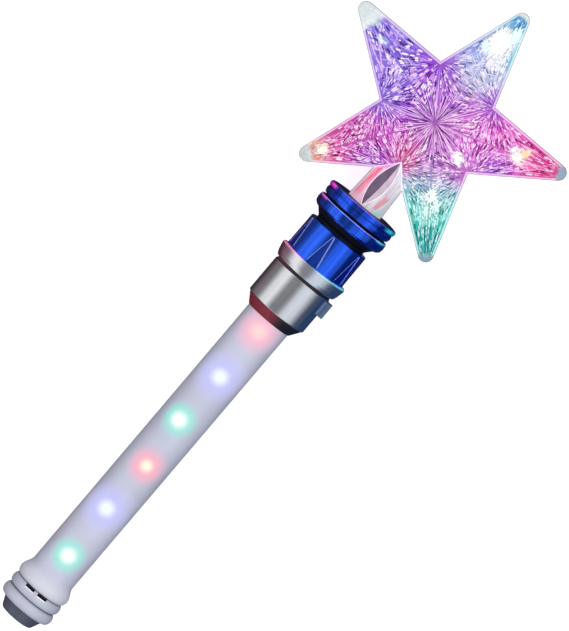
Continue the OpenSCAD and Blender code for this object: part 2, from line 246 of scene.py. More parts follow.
def curve_r(u0, u1, fn, n):
    return [(fn(u0 + (u1 - u0) * i / n), u0 + (u1 - u0) * i / n) for i in range(n + 1)]


def cut(ob, cutters):
    """Takes the cutters out of a piece for good; the cut faces take the cutter's material."""
    for c in cutters:
        md = ob.modifiers.new("cut", "BOOLEAN")
        md.operation = "DIFFERENCE"
        md.solver = "EXACT"
        md.material_mode = "TRANSFER"
        md.object = c
    deps = bpy.context.evaluated_depsgraph_get()
    me = bpy.data.meshes.new_from_object(ob.evaluated_get(deps))
    ob.modifiers.clear()
    old = ob.data
    ob.data = me
    me.name = old.name + "_cut"
    bpy.data.meshes.remove(old)
    for c in cutters:
        bpy.data.objects.remove(c, do_unlink=True)


def box_object(name, u, y, z, mat=None, bevel=0.0):
    v = [W(a, b, c) for a in u for b in y for c in z]
    f = [(0, 1, 3, 2), (4, 6, 7, 5), (0, 4, 5, 1), (2, 3, 7, 6), (0, 2, 6, 4), (1, 5, 7, 3)]
    ob = mesh_object(name, v, f, mat, 0)
    if bevel:
        bm = bmesh.new()
        bm.from_mesh(ob.data)
        bmesh.ops.bevel(bm, geom=bm.edges[:], offset=bevel * 0.001, segments=4, affect="EDGES", profile=0.5)
        bm.to_mesh(ob.data)
        bm.free()
        ob.data.polygons.foreach_set("use_smooth", [True] * len(ob.data.polygons))
        ob.data.set_sharp_from_angle(angle=math.radians(40))
    return ob


def tube_path(name, pts, rad, mat, k=10, closed=False):
    """A thin round bead along points in (u, y, z) mm."""
    P = [Vector(p) for p in pts]
    n = len(P)
    verts, faces = [], []
    for i, p in enumerate(P):
        a = P[(i - 1) % n] if (closed or i > 0) else p
        b = P[(i + 1) % n] if (closed or i < n - 1) else p
        d = (b - a).normalized()
        s = d.cross(Vector((0, 0, 1)))
        s = s.normalized() if s.length > 1e-6 else Vector((0, 1, 0))
        t = s.cross(d)
        for j in range(k):
            q = p + (s * math.cos(2 * math.pi * j / k) + t * math.sin(2 * math.pi * j / k)) * rad
            verts.append(W(q.x, q.y, q.z))
    for i in range(n if closed else n - 1):
        for j in range(k):
            faces.append((i * k + j, i * k + (j + 1) % k, ((i + 1) % n) * k + (j + 1) % k, ((i + 1) % n) * k + j))
    if not closed:
        faces.append(tuple(range(k)))
        faces.append(tuple(range((n - 1) * k, n * k)))
    return mesh_object(name, verts, faces, mat, 60)


def join(name, obs):
    """Joins plain meshes into one piece, keeping their materials."""
    bm = bmesh.new()
    mats = []
    for o in obs:
        idx = []
        for m in o.data.materials:
            if m not in mats:
                mats.append(m)
            idx.append(mats.index(m))
        start = len(bm.faces)
        bm.from_mesh(o.data)
        bm.faces.ensure_lookup_table()
        for f in bm.faces[start:]:
            f.material_index = idx[f.material_index] if idx else 0
    me = bpy.data.meshes.new(name)
    bm.to_mesh(me)
    bm.free()
    for m in mats:
        me.materials.append(m)
    for o in obs:
        bpy.data.objects.remove(o, do_unlink=True)
    me.polygons.foreach_set("use_smooth", [True] * len(me.polygons))
    me.set_sharp_from_angle(angle=math.radians(35))
    ob = bpy.data.objects.new(name, me)
    bpy.context.scene.collection.objects.link(ob)
    return ob


def use(ob, body, slot, *nodes):
    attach(ob, body)
    if nodes:
        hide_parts(*nodes)
    return ob



# ---------------------------------------------------------------- materials
def scaled(col, f):
    return tuple(min(1.0, c * f) for c in col)


def frosted(name, halos):
    """Frosted plastic with the lights of the strip glowing through it."""
    m = Mat(name)
    p = m.coords()
    cloud = m.noise(p, 0.05, 2)
    base = m.mix(m.step(cloud, 0.3, 0.7), lin(194, 197, 216), lin(202, 204, 224))
    u, _, _ = m.split(p)
    base = m.mix(m.step(u, 30.0, 25.0), base, m.mix(m.step(cloud, 0.3, 0.7), lin(212, 214, 228), lin(220, 221, 234)))
    glow, clear = (0.0, 0.0, 0.0), 1.0
    for u, y, kind in halos:
        tint, near, far, core, cnear, cfar, camt = {
            "green": (lin(134, 240, 220), 2.6, 11.8, lin(255, 255, 255), 1.4, 6.6, 1.0),
            "blue": (lin(192, 194, 250), 3.5, 17.0, lin(246, 255, 255), 0.8, 6.6, 1.0),
            "red": (lin(254, 172, 192), 2.6, 12.6, lin(255, 253, 228), 0.5, 5.2, 1.0),
            "pink": (lin(250, 182, 206), 3.0, 15.0, lin(255, 220, 214), 0.5, 6.8, 0.9),
        }[kind]
        d = m.vec("DISTANCE", p, (u, y, 12.5))
        w = m.step(d, near, far, 0.97, 0.0)
        hue = m.mix(m.step(d, cnear, cfar, camt, 0.0), tint, core)
        glow = m.mix(w, glow, hue)
        clear = m.math("MULTIPLY", clear, m.math("SUBTRACT", 1.0, w))
    pr = m.shader(Base_Color=m.mix(clear, (0.02, 0.02, 0.02), base), Emission_Color=glow, Emission_Strength=1.0)
    pr.inputs["Coat Weight"].default_value = 0.12
    pr.inputs["Coat Roughness"].default_value = 0.3
    fine = m.noise(p, 0.9, 3)
    m.put(pr.inputs["Roughness"], m.step(fine, 0.3, 0.7, 0.38, 0.5))
    m.bump(pr, fine, 0.05, 0.0004)
    return m


def plastic(name, col, rough=0.35, coat=0.2, grain=0.03):
    m = Mat(name)
    p = m.coords()
    n = m.noise(p, 0.12, 3)
    pr = m.shader(Base_Color=m.mix(m.step(n, 0.3, 0.7), scaled(col, 1 - grain), scaled(col, 1 + grain)))
    pr.inputs["Coat Weight"].default_value = coat
    pr.inputs["Coat Roughness"].default_value = 0.15
    fine = m.noise(p, 1.2, 2)
    m.put(pr.inputs["Roughness"], m.step(fine, 0.3, 0.7, rough - 0.04, rough + 0.06))
    m.bump(pr, fine, 0.04, 0.0003)
    return m


def cap_material():
    """Milky plastic, with painted shade greying it down in the grooves between the rings."""
    m = Mat("cap_plastic")
    p = m.coords()
    _, y, z = m.split(p)
    r = m.math("SQRT", m.math("ADD", m.math("MULTIPLY", y, y), m.math("MULTIPLY", z, z)))
    n = m.noise(p, 0.12, 3)
    top = m.mix(m.step(n, 0.3, 0.7), lin(190, 193, 210), lin(197, 200, 216))
    # painted shade: the plastic goes dark grey where it lies low, down in the grooves between the rings
    pr = m.shader(Base_Color=m.mix(m.step(r, 13.0, 14.3), lin(120, 120, 134), top))
    pr.inputs["Coat Weight"].default_value = 0.2
    pr.inputs["Coat Roughness"].default_value = 0.15
    fine = m.noise(p, 1.2, 2)
    m.put(pr.inputs["Roughness"], m.step(fine, 0.3, 0.7, 0.32, 0.42))
    m.bump(pr, fine, 0.04, 0.0003)
    return m


def metal(name, col, rough=0.2, coat=0.0, grain=0.03, reflect_streaks=0.0):
    """Metallised plastic: fine turning marks in the gloss, painted reflection streaks along the wand, a lacquer coat
    over it.
    """
    m = Mat(name)
    p = m.coords()
    n = m.noise(m.vec("MULTIPLY", p, (1.6, 0.25, 0.25)), 1.0, 3)
    col = m.mix(m.step(n, 0.3, 0.7), scaled(col, 1 - grain), scaled(col, 1 + grain))
    # painted reflection: light and dark streaks running along the wand, as the surroundings would reflect in the metal
    if reflect_streaks:
        u, y, z = m.split(p)
        lines = m.noise(m.xyz(m.math("MULTIPLY", u, 0.015), m.math("MULTIPLY", m.math("ARCTAN2", y, z), 7.0), 3.0), 1.0, 3, 0.6)
        col = m.mix(1.0, col, m.mix(m.step(lines, 0.34, 0.66), (1 - reflect_streaks, 1 - reflect_streaks, 1 - 0.8 * reflect_streaks), (1 + 0.4 * reflect_streaks, 1 + 0.4 * reflect_streaks, 1.0)), "MULTIPLY")
    pr = m.shader(Base_Color=col, Metallic=1.0)
    m.put(pr.inputs["Roughness"], m.step(n, 0.3, 0.7, rough - 0.02, rough + 0.03))
    if coat:
        pr.inputs["Coat Weight"].default_value = coat
        pr.inputs["Coat Roughness"].default_value = 0.1
    return m, pr, p


def plain(name, col, rough=0.5, metallic=0.0, emit=0.0, grain=0.07, scale=0.35):
    m = Mat(name)
    p = m.coords()
    n = m.noise(p, scale, 3)
    base = m.mix(m.step(n, 0.3, 0.7), scaled(col, 1 - grain), scaled(col, 1 + grain))
    pr = m.shader(Base_Color=base, Metallic=metallic)
    m.put(pr.inputs["Roughness"], m.step(n, 0.3, 0.7, max(0.02, rough - 0.04), rough + 0.06))
    if emit:
        m.put(pr.inputs["Emission Color"], base)
        pr.inputs["Emission Strength"].default_value = emit
    return m


def band(m, v, a, b, soft):
    """1 between a and b, with soft ends."""
    return m.math("MULTIPLY", m.step(v, a - soft, a + soft), m.step(v, b - soft, b + soft, 1.0, 0.0))


def crown_material():
    m, pr, p = metal("blue_crown", BLUE, 0.12, 0.15, 0.03, 0.55)
    u, y, z = m.split(p)
    # painted reflections of the star's light: magenta glints on the flanges' left ends, teal on their right ends, on
    # the upper side
    up = m.step(z, -6.0, 2.0)
    left = m.math("MULTIPLY", band(m, y, 16.6, 20.0, 1.2), up)
    right = m.math("MULTIPLY", band(m, y, -19.8, -15.8, 1.5), up)
    top = band(m, u, 268.9, 270.6, 0.5)
    low = band(m, u, 261.9, 263.1, 0.4)
    both = m.math("ADD", top, m.math("MULTIPLY", low, 0.8))
    glow = m.mix(m.math("MULTIPLY", left, both), (0, 0, 0), lin(236, 30, 190))
    glow = m.mix(m.math("MULTIPLY", right, both), glow, lin(30, 176, 186))
    # light from the star along the top edge
    rim = m.math("MULTIPLY", band(m, u, 270.5, 271.4, 0.25), m.step(z, 12.0, 19.0))
    glow = m.mix(m.math("MULTIPLY", rim, 0.55), glow, lin(128, 92, 236))
    m.put(pr.inputs["Emission Color"], glow)
    pr.inputs["Emission Strength"].default_value = 0.9
    return m


def ring_material():
    m = Mat("silver_ring")
    p = m.coords()
    u, y, z = m.split(p)
    n = m.noise(m.vec("MULTIPLY", p, (1.6, 0.25, 0.25)), 1.0, 3)
    # painted reflection: the ring goes blue towards its right side and pink, then red, towards its left, where the
    # lights reflect in it
    side = m.step(y, -14.0, 14.0, kind="LINEAR")
    tint = m.mix(side, (0.60, 0.69, 0.75), (0.82, 0.77, 0.82))
    pr = m.shader(Base_Color=m.mix(m.step(y, 11.0, 18.0), tint, (0.92, 0.50, 0.60)), Metallic=1.0)
    m.put(pr.inputs["Roughness"], m.step(n, 0.3, 0.7, 0.2, 0.27))
    # painted glints of pink and cyan light along the ring's top edge
    edge = m.math("MULTIPLY", m.step(u, 231.75, 232.05), m.step(z, -2.0, 4.0))
    pink = m.math("MULTIPLY", edge, m.step(y, 3.0, 12.0))
    cyan = m.math("MULTIPLY", edge, m.step(y, 2.0, -8.0))
    glow = m.mix(m.math("MULTIPLY", pink, 0.9), (0, 0, 0), lin(236, 130, 180))
    glow = m.mix(m.math("MULTIPLY", cyan, 0.9), glow, lin(110, 200, 214))
    m.put(pr.inputs["Emission Color"], glow)
    pr.inputs["Emission Strength"].default_value = 0.8
    return m


def dark_with_red_light(name, dark, left, y0, y1, rough):
    """A black moulding with painted red light towards its left side, where the lights shine on it."""
    m = Mat(name)
    p = m.coords()
    _, y, z = m.split(p)
    # painted light: red from the wand's lamps, towards the left and upper side
    red = m.math("MULTIPLY", m.step(y, y0, y1), m.step(z, -5.0, 5.0))
    n = m.noise(p, 0.5, 3)
    base = m.mix(red, dark, left)
    base = m.mix(m.math("MULTIPLY", m.step(n, 0.35, 0.7), 0.25), base, scaled(dark, 0.7))
    pr = m.shader(Base_Color=base)
    m.put(pr.inputs["Roughness"], m.step(n, 0.3, 0.7, rough - 0.05, rough + 0.08))
    return m


def circuit(name, col, line):
    m = Mat(name)
    p = m.coords()
    u, y, z = m.split(p)
    cell = m.white(m.xyz(m.math("FLOOR", m.math("MULTIPLY", u, 0.22)), m.math("FLOOR", m.math("MULTIPLY", y, 0.9)), 2.0))
    f = m.math("ABSOLUTE", m.math("SUBTRACT", m.math("FRACT", m.math("MULTIPLY", y, 0.9)), 0.5))
    track = m.math("MULTIPLY", m.step(f, 0.2, 0.26, 1.0, 0.0), m.step(cell, 0.45, 0.5))
    pr = m.shader(Base_Color=m.mix(m.math("MULTIPLY", track, 0.6), col, line))
    m.put(pr.inputs["Roughness"], m.step(track, 0.0, 1.0, 0.38, 0.28))
    return m


def lamp(name, col):
    m = Mat(name)
    p = m.coords()
    n = m.noise(p, 0.8, 2)
    c = m.mix(m.step(n, 0.3, 0.7), col, scaled(col, 1.25))
    m.shader(Base_Color=c, Roughness=0.2, Emission_Color=c, Emission_Strength=0.7)
    return m


HALOS = [(42.6, -0.2, "green"), (73.2, 0.5, "blue"), (102.5, -1.0, "red"), (130.7, 1.5, "green"), (160.3, -0.2, "blue"), (190.2, -0.2, "pink")]
BLUE = (0.024, 0.125, 1.0)
M_TUBE = frosted("frosted_tube", HALOS)
M_CAP = cap_material()
# painted highlight: a pale glowing white for the beads along the slots' lower edges
M_SLOT_HIGHLIGHT = plain("cap_edge_highlight", lin(244, 244, 249), 0.3, 0.0, 0.22, 0.02)
M_BUTTON = plastic("button_plastic", lin(78, 84, 99), 0.42, 0.1)
# painted shade: dark for the faces cut for the slots, which lie in shadow
M_SLOT_SHADE = plain("slot_painted_shade", lin(34, 26, 36), 0.6)
M_BLUE = metal("blue_plated", BLUE, 0.15, 0.15, 0.03, 0.5)[0]
M_CROWN = crown_material()
# painted shade: near-black for the crown's faces that lie in shadow and reflect only dark surroundings
M_CROWN_SHADE = plain("crown_painted_shade", lin(5, 5, 13), 0.5)
next(n for n in M_CROWN_SHADE.t.nodes if n.type == "BSDF_PRINCIPLED").inputs["Specular IOR Level"].default_value = 0.2
# painted highlight: a pale blue glow for the beads along the flutes' edges
M_FLUTE_HIGHLIGHT = plain("flute_highlight", lin(168, 180, 252), 0.25, 0.3, 0.26)
# painted highlight: a pale lilac glow for the bead at the lower flange's top edge
M_CROWN_HIGHLIGHT = plain("crown_highlight_line", lin(170, 178, 250), 0.2, 0.0, 0.35)
M_SILVER = metal("silver_plated", (0.71, 0.72, 0.745), 0.2, 0.0, 0.03, 0.07)[0]
M_RING = ring_material()
# painted shade: the mode button's metal is darkened to a slate blue-grey, where it sits in shadow
M_SIDE = metal("side_button_plated", (0.20, 0.30, 0.46), 0.3)[0]
M_BLACK = dark_with_red_light("groove_black", lin(22, 20, 26), lin(96, 44, 52), 6.0, 17.0, 0.45)
M_GASKET = dark_with_red_light("gasket_rubber", lin(20, 15, 24), lin(134, 38, 54), -6.5, 2.0, 0.45)

INSIDE = {
    "frosted_tube": M_TUBE, "cap_plastic": M_CAP, "button_plastic": M_BUTTON, "black_rubber": M_GASKET, "silver_plated": M_SILVER, "blue_plated": M_BLUE, "black_plastic": M_BLACK,
    "white_plastic": plastic("white_plastic", lin(228, 228, 226), 0.42, 0.1),
    "clear_plastic": plastic("clear_plastic", lin(226, 214, 236), 0.15, 0.4),
    "green_board": circuit("green_board", lin(30, 118, 74), lin(120, 170, 96)),
    "white_board": circuit("white_board", lin(226, 228, 222), lin(196, 178, 120)),
    "steel": metal("bright_steel", (0.62, 0.61, 0.58), 0.26)[0],
    "wire": plastic("wire_insulation", lin(190, 40, 40), 0.4, 0.1, 0.08),
    "led_green": lamp("led_green", lin(70, 240, 190)), "led_blue": lamp("led_blue", lin(130, 140, 250)),
    "led_red": lamp("led_red", lin(250, 110, 130)), "led_white": lamp("led_white", lin(226, 236, 244)),
}
for part in frame["record"]["subparts"]:
    ob = frame["nodes"][part["node"]]
    if part["material_slot"] in INSIDE:
        if len(ob.material_slots) == 0:
            ob.data.materials.append(INSIDE[part["material_slot"]].m)
        for s in ob.material_slots:
            s.material = INSIDE[part["material_slot"]].m

# ---------------------------------------------------------------- handle
def flare(u):
    if u < 22.3:
        return 13.0 + 2.0 * math.sqrt(max(0, 1 - ((u - 22.3) / 3.4) ** 2))
    if u < 29.5:
        return 12.5 + 2.5 * (0.5 + 0.5 * math.cos(math.pi * (u - 22.3) / 7.2))
    return 12.5


tube_prof = [(12.9, 19.0)] + curve_r(19.0, 22.3, flare, 18) + curve_r(22.5, 29.5, flare, 28)
tube_prof += [(12.5, u) for u in np.linspace(33, 210, 60)] + [(12.3, 212.0), (10.9, 212.0), (10.9, 31.5), (12.1, 28.0), (12.1, 19.0)]
use(lathe("tube_frosted", tube_prof, M_TUBE, 128, 40), "wand", "frosted_tube", "diffuser_tube")


def ring_bulge(c, half, base, h):
    return lambda u: base + h * math.sqrt(max(0, 1 - ((u - c) / half) ** 2))


ring1 = ring_bulge(9.35, 3.2, 12.9, 2.2)
ring2 = ring_bulge(15.75, 3.1, 12.75, 2.1)
cap_prof = [(12.2, 6.25), (12.9, 6.12)] + curve_r(6.16, 12.54, ring1, 26) + curve_r(12.66, 18.84, ring2, 26)
cap_prof += [(12.72, 18.88), (11.8, 18.9), (11.8, 25.3), (11.2, 25.3), (11.2, 26.4), (11.8, 26.4), (11.8, 27.6), (11.3, 28.4), (10.8, 28.4), (10.8, 14.8), (10.2, 14.8), (10.2, 11.2), (13.1, 11.2), (13.1, 7.6), (12.2, 7.6)]
cap = lathe("cap_rings", cap_prof, M_CAP, 160, 40)
# the slots' cut faces take the dark painted shade
cut(cap, [box_object("slot_cut", (17.3, 18.72), (s * 3.8 - 2.7, s * 3.8 + 2.7), (11.3, 18), M_SLOT_SHADE) for s in (-1, 1)])
cap.data.polygons.foreach_set("use_smooth", [True] * len(cap.data.polygons))
cap.data.set_sharp_from_angle(angle=math.radians(40))
# beads along the slots' lower edges, painted as highlights
lip_highlights = []
for s in (-1, 1):
    pts = []
    for i in range(13):
        y = s * 3.8 - 2.6 + 5.2 * i / 12
        pts.append((17.05, y, math.sqrt(ring2(17.05) ** 2 - y * y) - 0.02))
    lip_highlights.append(tube_path("slot_lip_highlight", pts, 0.27, M_SLOT_HIGHLIGHT, 8))
use(join("cap_rings", [cap] + lip_highlights), "tail_cap", "cap_plastic", "end_cap")

btn_prof = rounded([(0, 0.0), (8.9, 0.0, 0.45), (9.5, 0.8, 0.8), (11.5, 5.2, 0.5), (11.75, 6.0, 0.3), (11.9, 7.8), (12.8, 7.8, 0.2), (12.8, 9.0, 0.2), (10.0, 9.0), (10.0, 4.2), (3.0, 4.2), (3.0, 9.4), (0, 9.4)], 8)
use(lathe("tail_push_button", btn_prof, M_BUTTON, 128, 35), "tail_button", "button_plastic", "tail_button")

# the tail button's return spring, a fixed coil of six turns
TURNS, STEPS, RING = 6, 28, 10
verts, faces = [], []
for i in range(TURNS * STEPS + 1):
    t = i / (TURNS * STEPS)
    a = 2 * math.pi * TURNS * t
    for j in range(RING):
        b = 2 * math.pi * j / RING
        r = 6.6 + 0.4 * math.cos(b)
        verts.append(W(4.7 + 9.6 * t + 0.4 * math.sin(b), r * math.cos(a), r * math.sin(a)))
for i in range(TURNS * STEPS):
    for j in range(RING):
        faces.append((i * RING + j, i * RING + (j + 1) % RING, (i + 1) * RING + (j + 1) % RING, (i + 1) * RING + j))
faces.append(tuple(range(RING)))
faces.append(tuple(range(TURNS * STEPS * RING, (TURNS * STEPS + 1) * RING)))
coil = use(mesh_object("return_spring", verts, faces, INSIDE["steel"], 60), "tail_cap", "steel", "button_spring")
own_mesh(coil)

# ---------------------------------------------------------------- collar
use(lathe("gasket_cone", rounded([(12.55, 197.0), (13.0, 197.0, 0.15), (16.1, 201.5, 0.5), (16.5, 202.4, 0.2), (12.55, 202.4)]), M_GASKET), "wand", "black_rubber", "sleeve_gasket")
sleeve = lathe("sleeve_silver", rounded([(12.6, 202.5), (17.3, 202.5, 0.6), (17.3, 223.5, 0.5), (15.5, 223.5), (15.5, 203.9), (12.6, 203.9)]), M_SILVER, 160)
cut(sleeve, [box_object("button_gap", (213.8, 222.8), (-24, -10), (-3.8, 3.8), M_BLACK)])
sleeve.data.polygons.foreach_set("use_smooth", [True] * len(sleeve.data.polygons))
sleeve.data.set_sharp_from_angle(angle=math.radians(35))
use(sleeve, "wand", "silver_plated", "ferrule_sleeve")
use(lathe("groove_black", rounded([(15.5, 223.55), (16.7, 223.55, 0.1), (16.7, 224.95, 0.1), (15.5, 224.95)]), M_BLACK), "wand", "black_plastic", "groove_band")
ring_prof = rounded([(15.5, 225.0), (18.0, 225.0, 0.7), (18.9, 227.2, 2.0), (19.85, 231.4, 0.7), (19.6, 232.4, 0.4), (18.0, 232.45), (15.5, 232.45)], 10)
use(lathe("ring_silver", ring_prof, M_RING, 160), "wand", "silver_plated", "ferrule_ring")

FLUTES = [5.0 + 60 * i for i in range(6)]
barrel = lathe("barrel_blue", rounded([(15.5, 232.5), (17.65, 232.5), (17.55, 234.5), (17.4, 251.5, 0.7), (14.2, 251.5), (14.2, 250.6), (15.5, 250.6)], 6), M_BLUE, 192)
flute_cutters, edges = [], []
for a in FLUTES:
    ca, sa = math.cos(math.radians(a)), math.sin(math.radians(a))

    def at(u, side, r):
        return (u, r * sa + side * ca, r * ca - side * sa)

    tri = [(-3.3, 231.8), (3.3, 231.8), (0.35, 250.7), (-0.35, 250.7)]
    v = [W(*at(u, s, r)) for r in (17.06, 21) for s, u in tri]
    f = [(0, 1, 2, 3), (7, 6, 5, 4)] + [(i, (i + 1) % 4, 4 + (i + 1) % 4, 4 + i) for i in range(4)]
    flute_cutters.append(mesh_object("flute_cut", v, f, M_BLUE, 0))
    # thin beads along each flute's edges, painted as highlights
    thin = 1.0 if a == FLUTES[0] else 0.62
    for s0, s1, rad in ((3.25, 0.35, 0.08), (-3.2, -0.35, 0.095), (-3.7, -0.7, 0.07)):
        pts = []
        for i in range(15):
            t = i / 14
            s = s0 + (s1 - s0) * t
            u = 233.2 + (250.6 - 233.2) * t
            r = 17.56 - 0.14 * t
            pts.append(at(u, s, math.sqrt(r * r - s * s)))
        edges.append(tube_path("flute_highlight", pts, rad * thin, M_FLUTE_HIGHLIGHT, 8))
cut(barrel, flute_cutters)
barrel.data.polygons.foreach_set("use_smooth", [True] * len(barrel.data.polygons))
barrel.data.set_sharp_from_angle(angle=math.radians(25))
use(barrel, "wand", "blue_plated", "collar_barrel")
use(join("flute_highlight_beads", edges), "wand", "blue_plated")

crown_prof = rounded([(11.6, 240.0), (13.3, 240.0, 0.3), (13.3, 250.55), (14.1, 250.65), (14.1, 251.6), (14.75, 251.6, 0.2), (14.75, 253.0, 1.0), (17.7, 256.3, 0.4), (19.5, 257.0, 0.4), (20.7, 258.2, 1.0), (21.1, 260.3, 1.6), (20.9, 262.3, 0.35), (20.3, 263.15, 0.25),
                      (18.2, 263.5, 0.1), (18.1, 263.95, 0.1), (19.9, 264.25, 0.4), (20.5, 265.9, 0.9), (20.35, 267.55, 0.1), (19.95, 267.75), (19.95, 268.0), (20.4, 268.2, 0.15), (20.85, 269.5, 0.9), (20.5, 270.75, 0.5), (19.6, 271.0, 0.2), (10.4, 271.0), (10.4, 260.0), (5.0, 260.0), (5.0, 256.0), (11.6, 256.0)], 7)
crown = lathe("crown_blue", crown_prof, M_CROWN, 192, 40)
crown.data.materials.append(M_CROWN_SHADE.m)
# painted shade and dark reflection: the waist and the cone under the lower flange, the groove between the flanges and
# the top face round the neck take the near-black material
for pl in crown.data.polygons:
    u = pl.center.x * 1000 + LEN / 2
    rad = math.hypot(pl.center.y * 1000, pl.center.z * 1000 - AXIS_Z)
    if rad > 14.1 and u < 257.4 or 263.3 < u < 264.2 and rad < 19.8 or u > 270.9 and 10.5 < rad < 19.0:
        pl.material_index = 1
# a glowing bead at the lower flange's top edge, painted as a highlight line
bead = tube_path("crown_highlight_line", [(262.75, 20.72 * math.sin(2 * math.pi * i / 120), 20.72 * math.cos(2 * math.pi * i / 120)) for i in range(120)], 0.11, M_CROWN_HIGHLIGHT, 8, True)
use(join("crown_blue", [crown, bead]), "wand", "blue_plated", "collar_crown")

mode = box_object("side_button", (214.05, 222.55), (-20.1, -12.4), (-3.6, 3.6), M_SIDE, 0.45)
flange = box_object("side_button_flange", (213.3, 223.3), (-12.42, -11.4), (-4.5, 4.5), M_SIDE)
use(join("side_push_button", [mode, flange]), "mode_button", "silver_plated", "mode_button")

# ---------------------------------------------------------------- star
def star_outline(g, per_edge=26, arc=8):
    """The rounded star's outline moved in by g mm, as (x, y) round from the notch at -36 degrees."""
    d = STAR_D - g
    rr = TIP_ROUND - g
    out = []
    for k in range(5):
        a0 = math.radians(72 * k)
        nt0 = np.array([math.cos(a0 - math.radians(36)), math.sin(a0 - math.radians(36))]) * d / math.cos(math.radians(36))
        nt1 = np.array([math.cos(a0 + math.radians(36)), math.sin(a0 + math.radians(36))]) * d / math.cos(math.radians(36))
        c = ROUND_C * np.array([math.cos(a0), math.sin(a0)])
        s = c + rr * np.array([math.cos(a0 - math.radians(72)), math.sin(a0 - math.radians(72))])
        e = c + rr * np.array([math.cos(a0 + math.radians(72)), math.sin(a0 + math.radians(72))])
        for i in range(per_edge):
            out.append(nt0 + (s - nt0) * i / per_edge)
        for i in range(arc + 1):
            a = a0 + math.radians(-72 + 144 * i / arc)
            out.append(c + rr * np.array([math.cos(a), math.sin(a)]))
        for i in range(1, per_edge):
            out.append(e + (nt1 - e) * i / per_edge)
    return np.array(out)


def roof(p, h=STAR_H):
    """Height of the star's face over its middle plane."""
    a = np.degrees(np.arctan2(p[:, 1], p[:, 0]))
    k = np.round(a / 72)
    q = a - 72 * k
    n = np.radians(72 * k + np.where(q < 0, -72, 72))
    return h - (STAR_H - RIM_H) / STAR_D * (p[:, 0] * np.cos(n) + p[:, 1] * np.sin(n))


# the lights in the star: where they sit (radius mm, angle), the colour they give the plastic round them, and how far they reach
GLOWS = [
    (0, 0, (168, 84, 184), 13, 1.0),
    (13, 70, (164, 92, 222), 12, 0.9),
    (27, 36, (150, 52, 222), 11, 1.3),
    (28, 106, (136, 102, 228), 10, 1.2),
    (36, 72, (140, 114, 240), 15, 1.3),
    (54, 72, (146, 130, 240), 13, 1.3),
    (16, 10, (168, 96, 214), 11, 0.9),
    (31, 0, (212, 220, 248), 11, 1.25),
    (42, 7, (138, 160, 240), 11, 1.2),
    (55, -6, (120, 210, 222), 10, 1.2),
    (65, 0, (48, 142, 214), 8, 1.5),
    (29, 326, (142, 80, 216), 8, 1.2),
    (20, 304, (226, 110, 220), 12, 1.0),
    (36, 292, (242, 108, 214), 13, 1.3),
    (52, 290, (234, 62, 150), 11, 1.3),
    (63, 288, (214, 60, 136), 8, 1.3),
    (38, 276, (124, 76, 206), 8, 1.2),
    (20, 252, (208, 104, 210), 10, 1.0),
    (20, 222, (184, 116, 206), 10, 1.0),
    (33, 216, (150, 176, 208), 10, 1.2),
    (45, 216, (70, 218, 200), 11, 1.3),
    (58, 216, (16, 152, 152), 9, 1.5),
    (21, 178, (200, 60, 112), 7, 1.3),
    (25, 150, (206, 80, 200), 12, 1.0),
    (38, 138, (200, 74, 172), 11, 1.2),
    (38, 158, (128, 66, 192), 9, 1.2),
    (50, 144, (222, 64, 158), 10, 1.3),
    (61, 144, (232, 172, 140), 7, 1.3),
]
HOTS = [
    (51, 1.5, 8.0, 1.2, (255, 255, 255)), (41, -5, 7, 0.7, (246, 246, 255)), (59, -4, 5, 0.6, (236, 255, 255)),
    (44, 288, 4.2, 0.9, (255, 248, 246)), (38, 284, 5, 0.3, (255, 214, 244)), (48, 291, 3.5, 0.5, (255, 226, 190)),
    (21.5, 252, 4.0, 0.9, (255, 248, 252)),
    (40, 217, 8.0, 0.5, (236, 255, 250)), (48, 214, 6, 0.38, (220, 255, 248)), (28, 219, 6, 0.3, (250, 240, 255)),
    (58, 144, 3.2, 1.1, (255, 250, 236)), (61.5, 141, 3, 0.4, (255, 222, 180)),
    (49, 73, 2.6, 0.7, (226, 248, 255)), (32, 74, 2.4, 0.4, (240, 240, 255)), (58.5, 72, 4.0, 0.7, (214, 246, 252)),
    (23, 176, 4, 0.25, (255, 150, 140)),
]


def polar(r, a):
    return np.array([r * math.cos(math.radians(a)), r * math.sin(math.radians(a))])


def star_fields(p):
    num = np.zeros((len(p), 3))
    den = np.zeros(len(p)) + 1e-9
    for r, a, c, s, wt in GLOWS:
        w = wt * np.exp(-((p - polar(r, a)) ** 2).sum(1) / (2 * (s * 0.62) ** 2))
        num += w[:, None] * np.array(lin(*c))
        den += w
    hot = np.zeros((len(p), 3))
    for r, a, s, amt, c in HOTS:
        w = amt * np.exp(-((p - polar(r, a)) ** 2).sum(1) / (2 * (s * 0.62) ** 2))
        hot += w[:, None] * np.array(lin(*c))
    return num / den[:, None], hot


def edge_gap(p):
    """How far a point lies inside the star's straight edges."""
    a = np.degrees(np.arctan2(p[:, 1], p[:, 0]))
    k = np.round(a / 72)
    q = a - 72 * k
    n = np.radians(72 * k + np.where(q < 0, -72, 72))
    return STAR_D - (p[:, 0] * np.cos(n) + p[:, 1] * np.sin(n))


RIM = 1.35


def arm_of(p):
    return np.round((np.degrees(np.arctan2(p[:, 1], p[:, 0])) % 360) / 72).astype(int) % 5


MILK_FROM = (66.5, 57.0, 63.0, 65.5, 64.5)


def milky(p):
    """How milky the solid tips are: 1 at the tip, 0 in the ribbed field."""
    start = np.array(MILK_FROM)[arm_of(p)]
    t = np.clip((np.hypot(p[:, 0], p[:, 1]) - start) / 1.7, 0, 1)
    return t * t * (3 - 2 * t)


MILK = np.array([lin(214, 214, 210), lin(216, 224, 226), lin(198, 206, 208), lin(132, 160, 176), lin(150, 168, 186)])
PALE = np.array(lin(255, 216, 252))


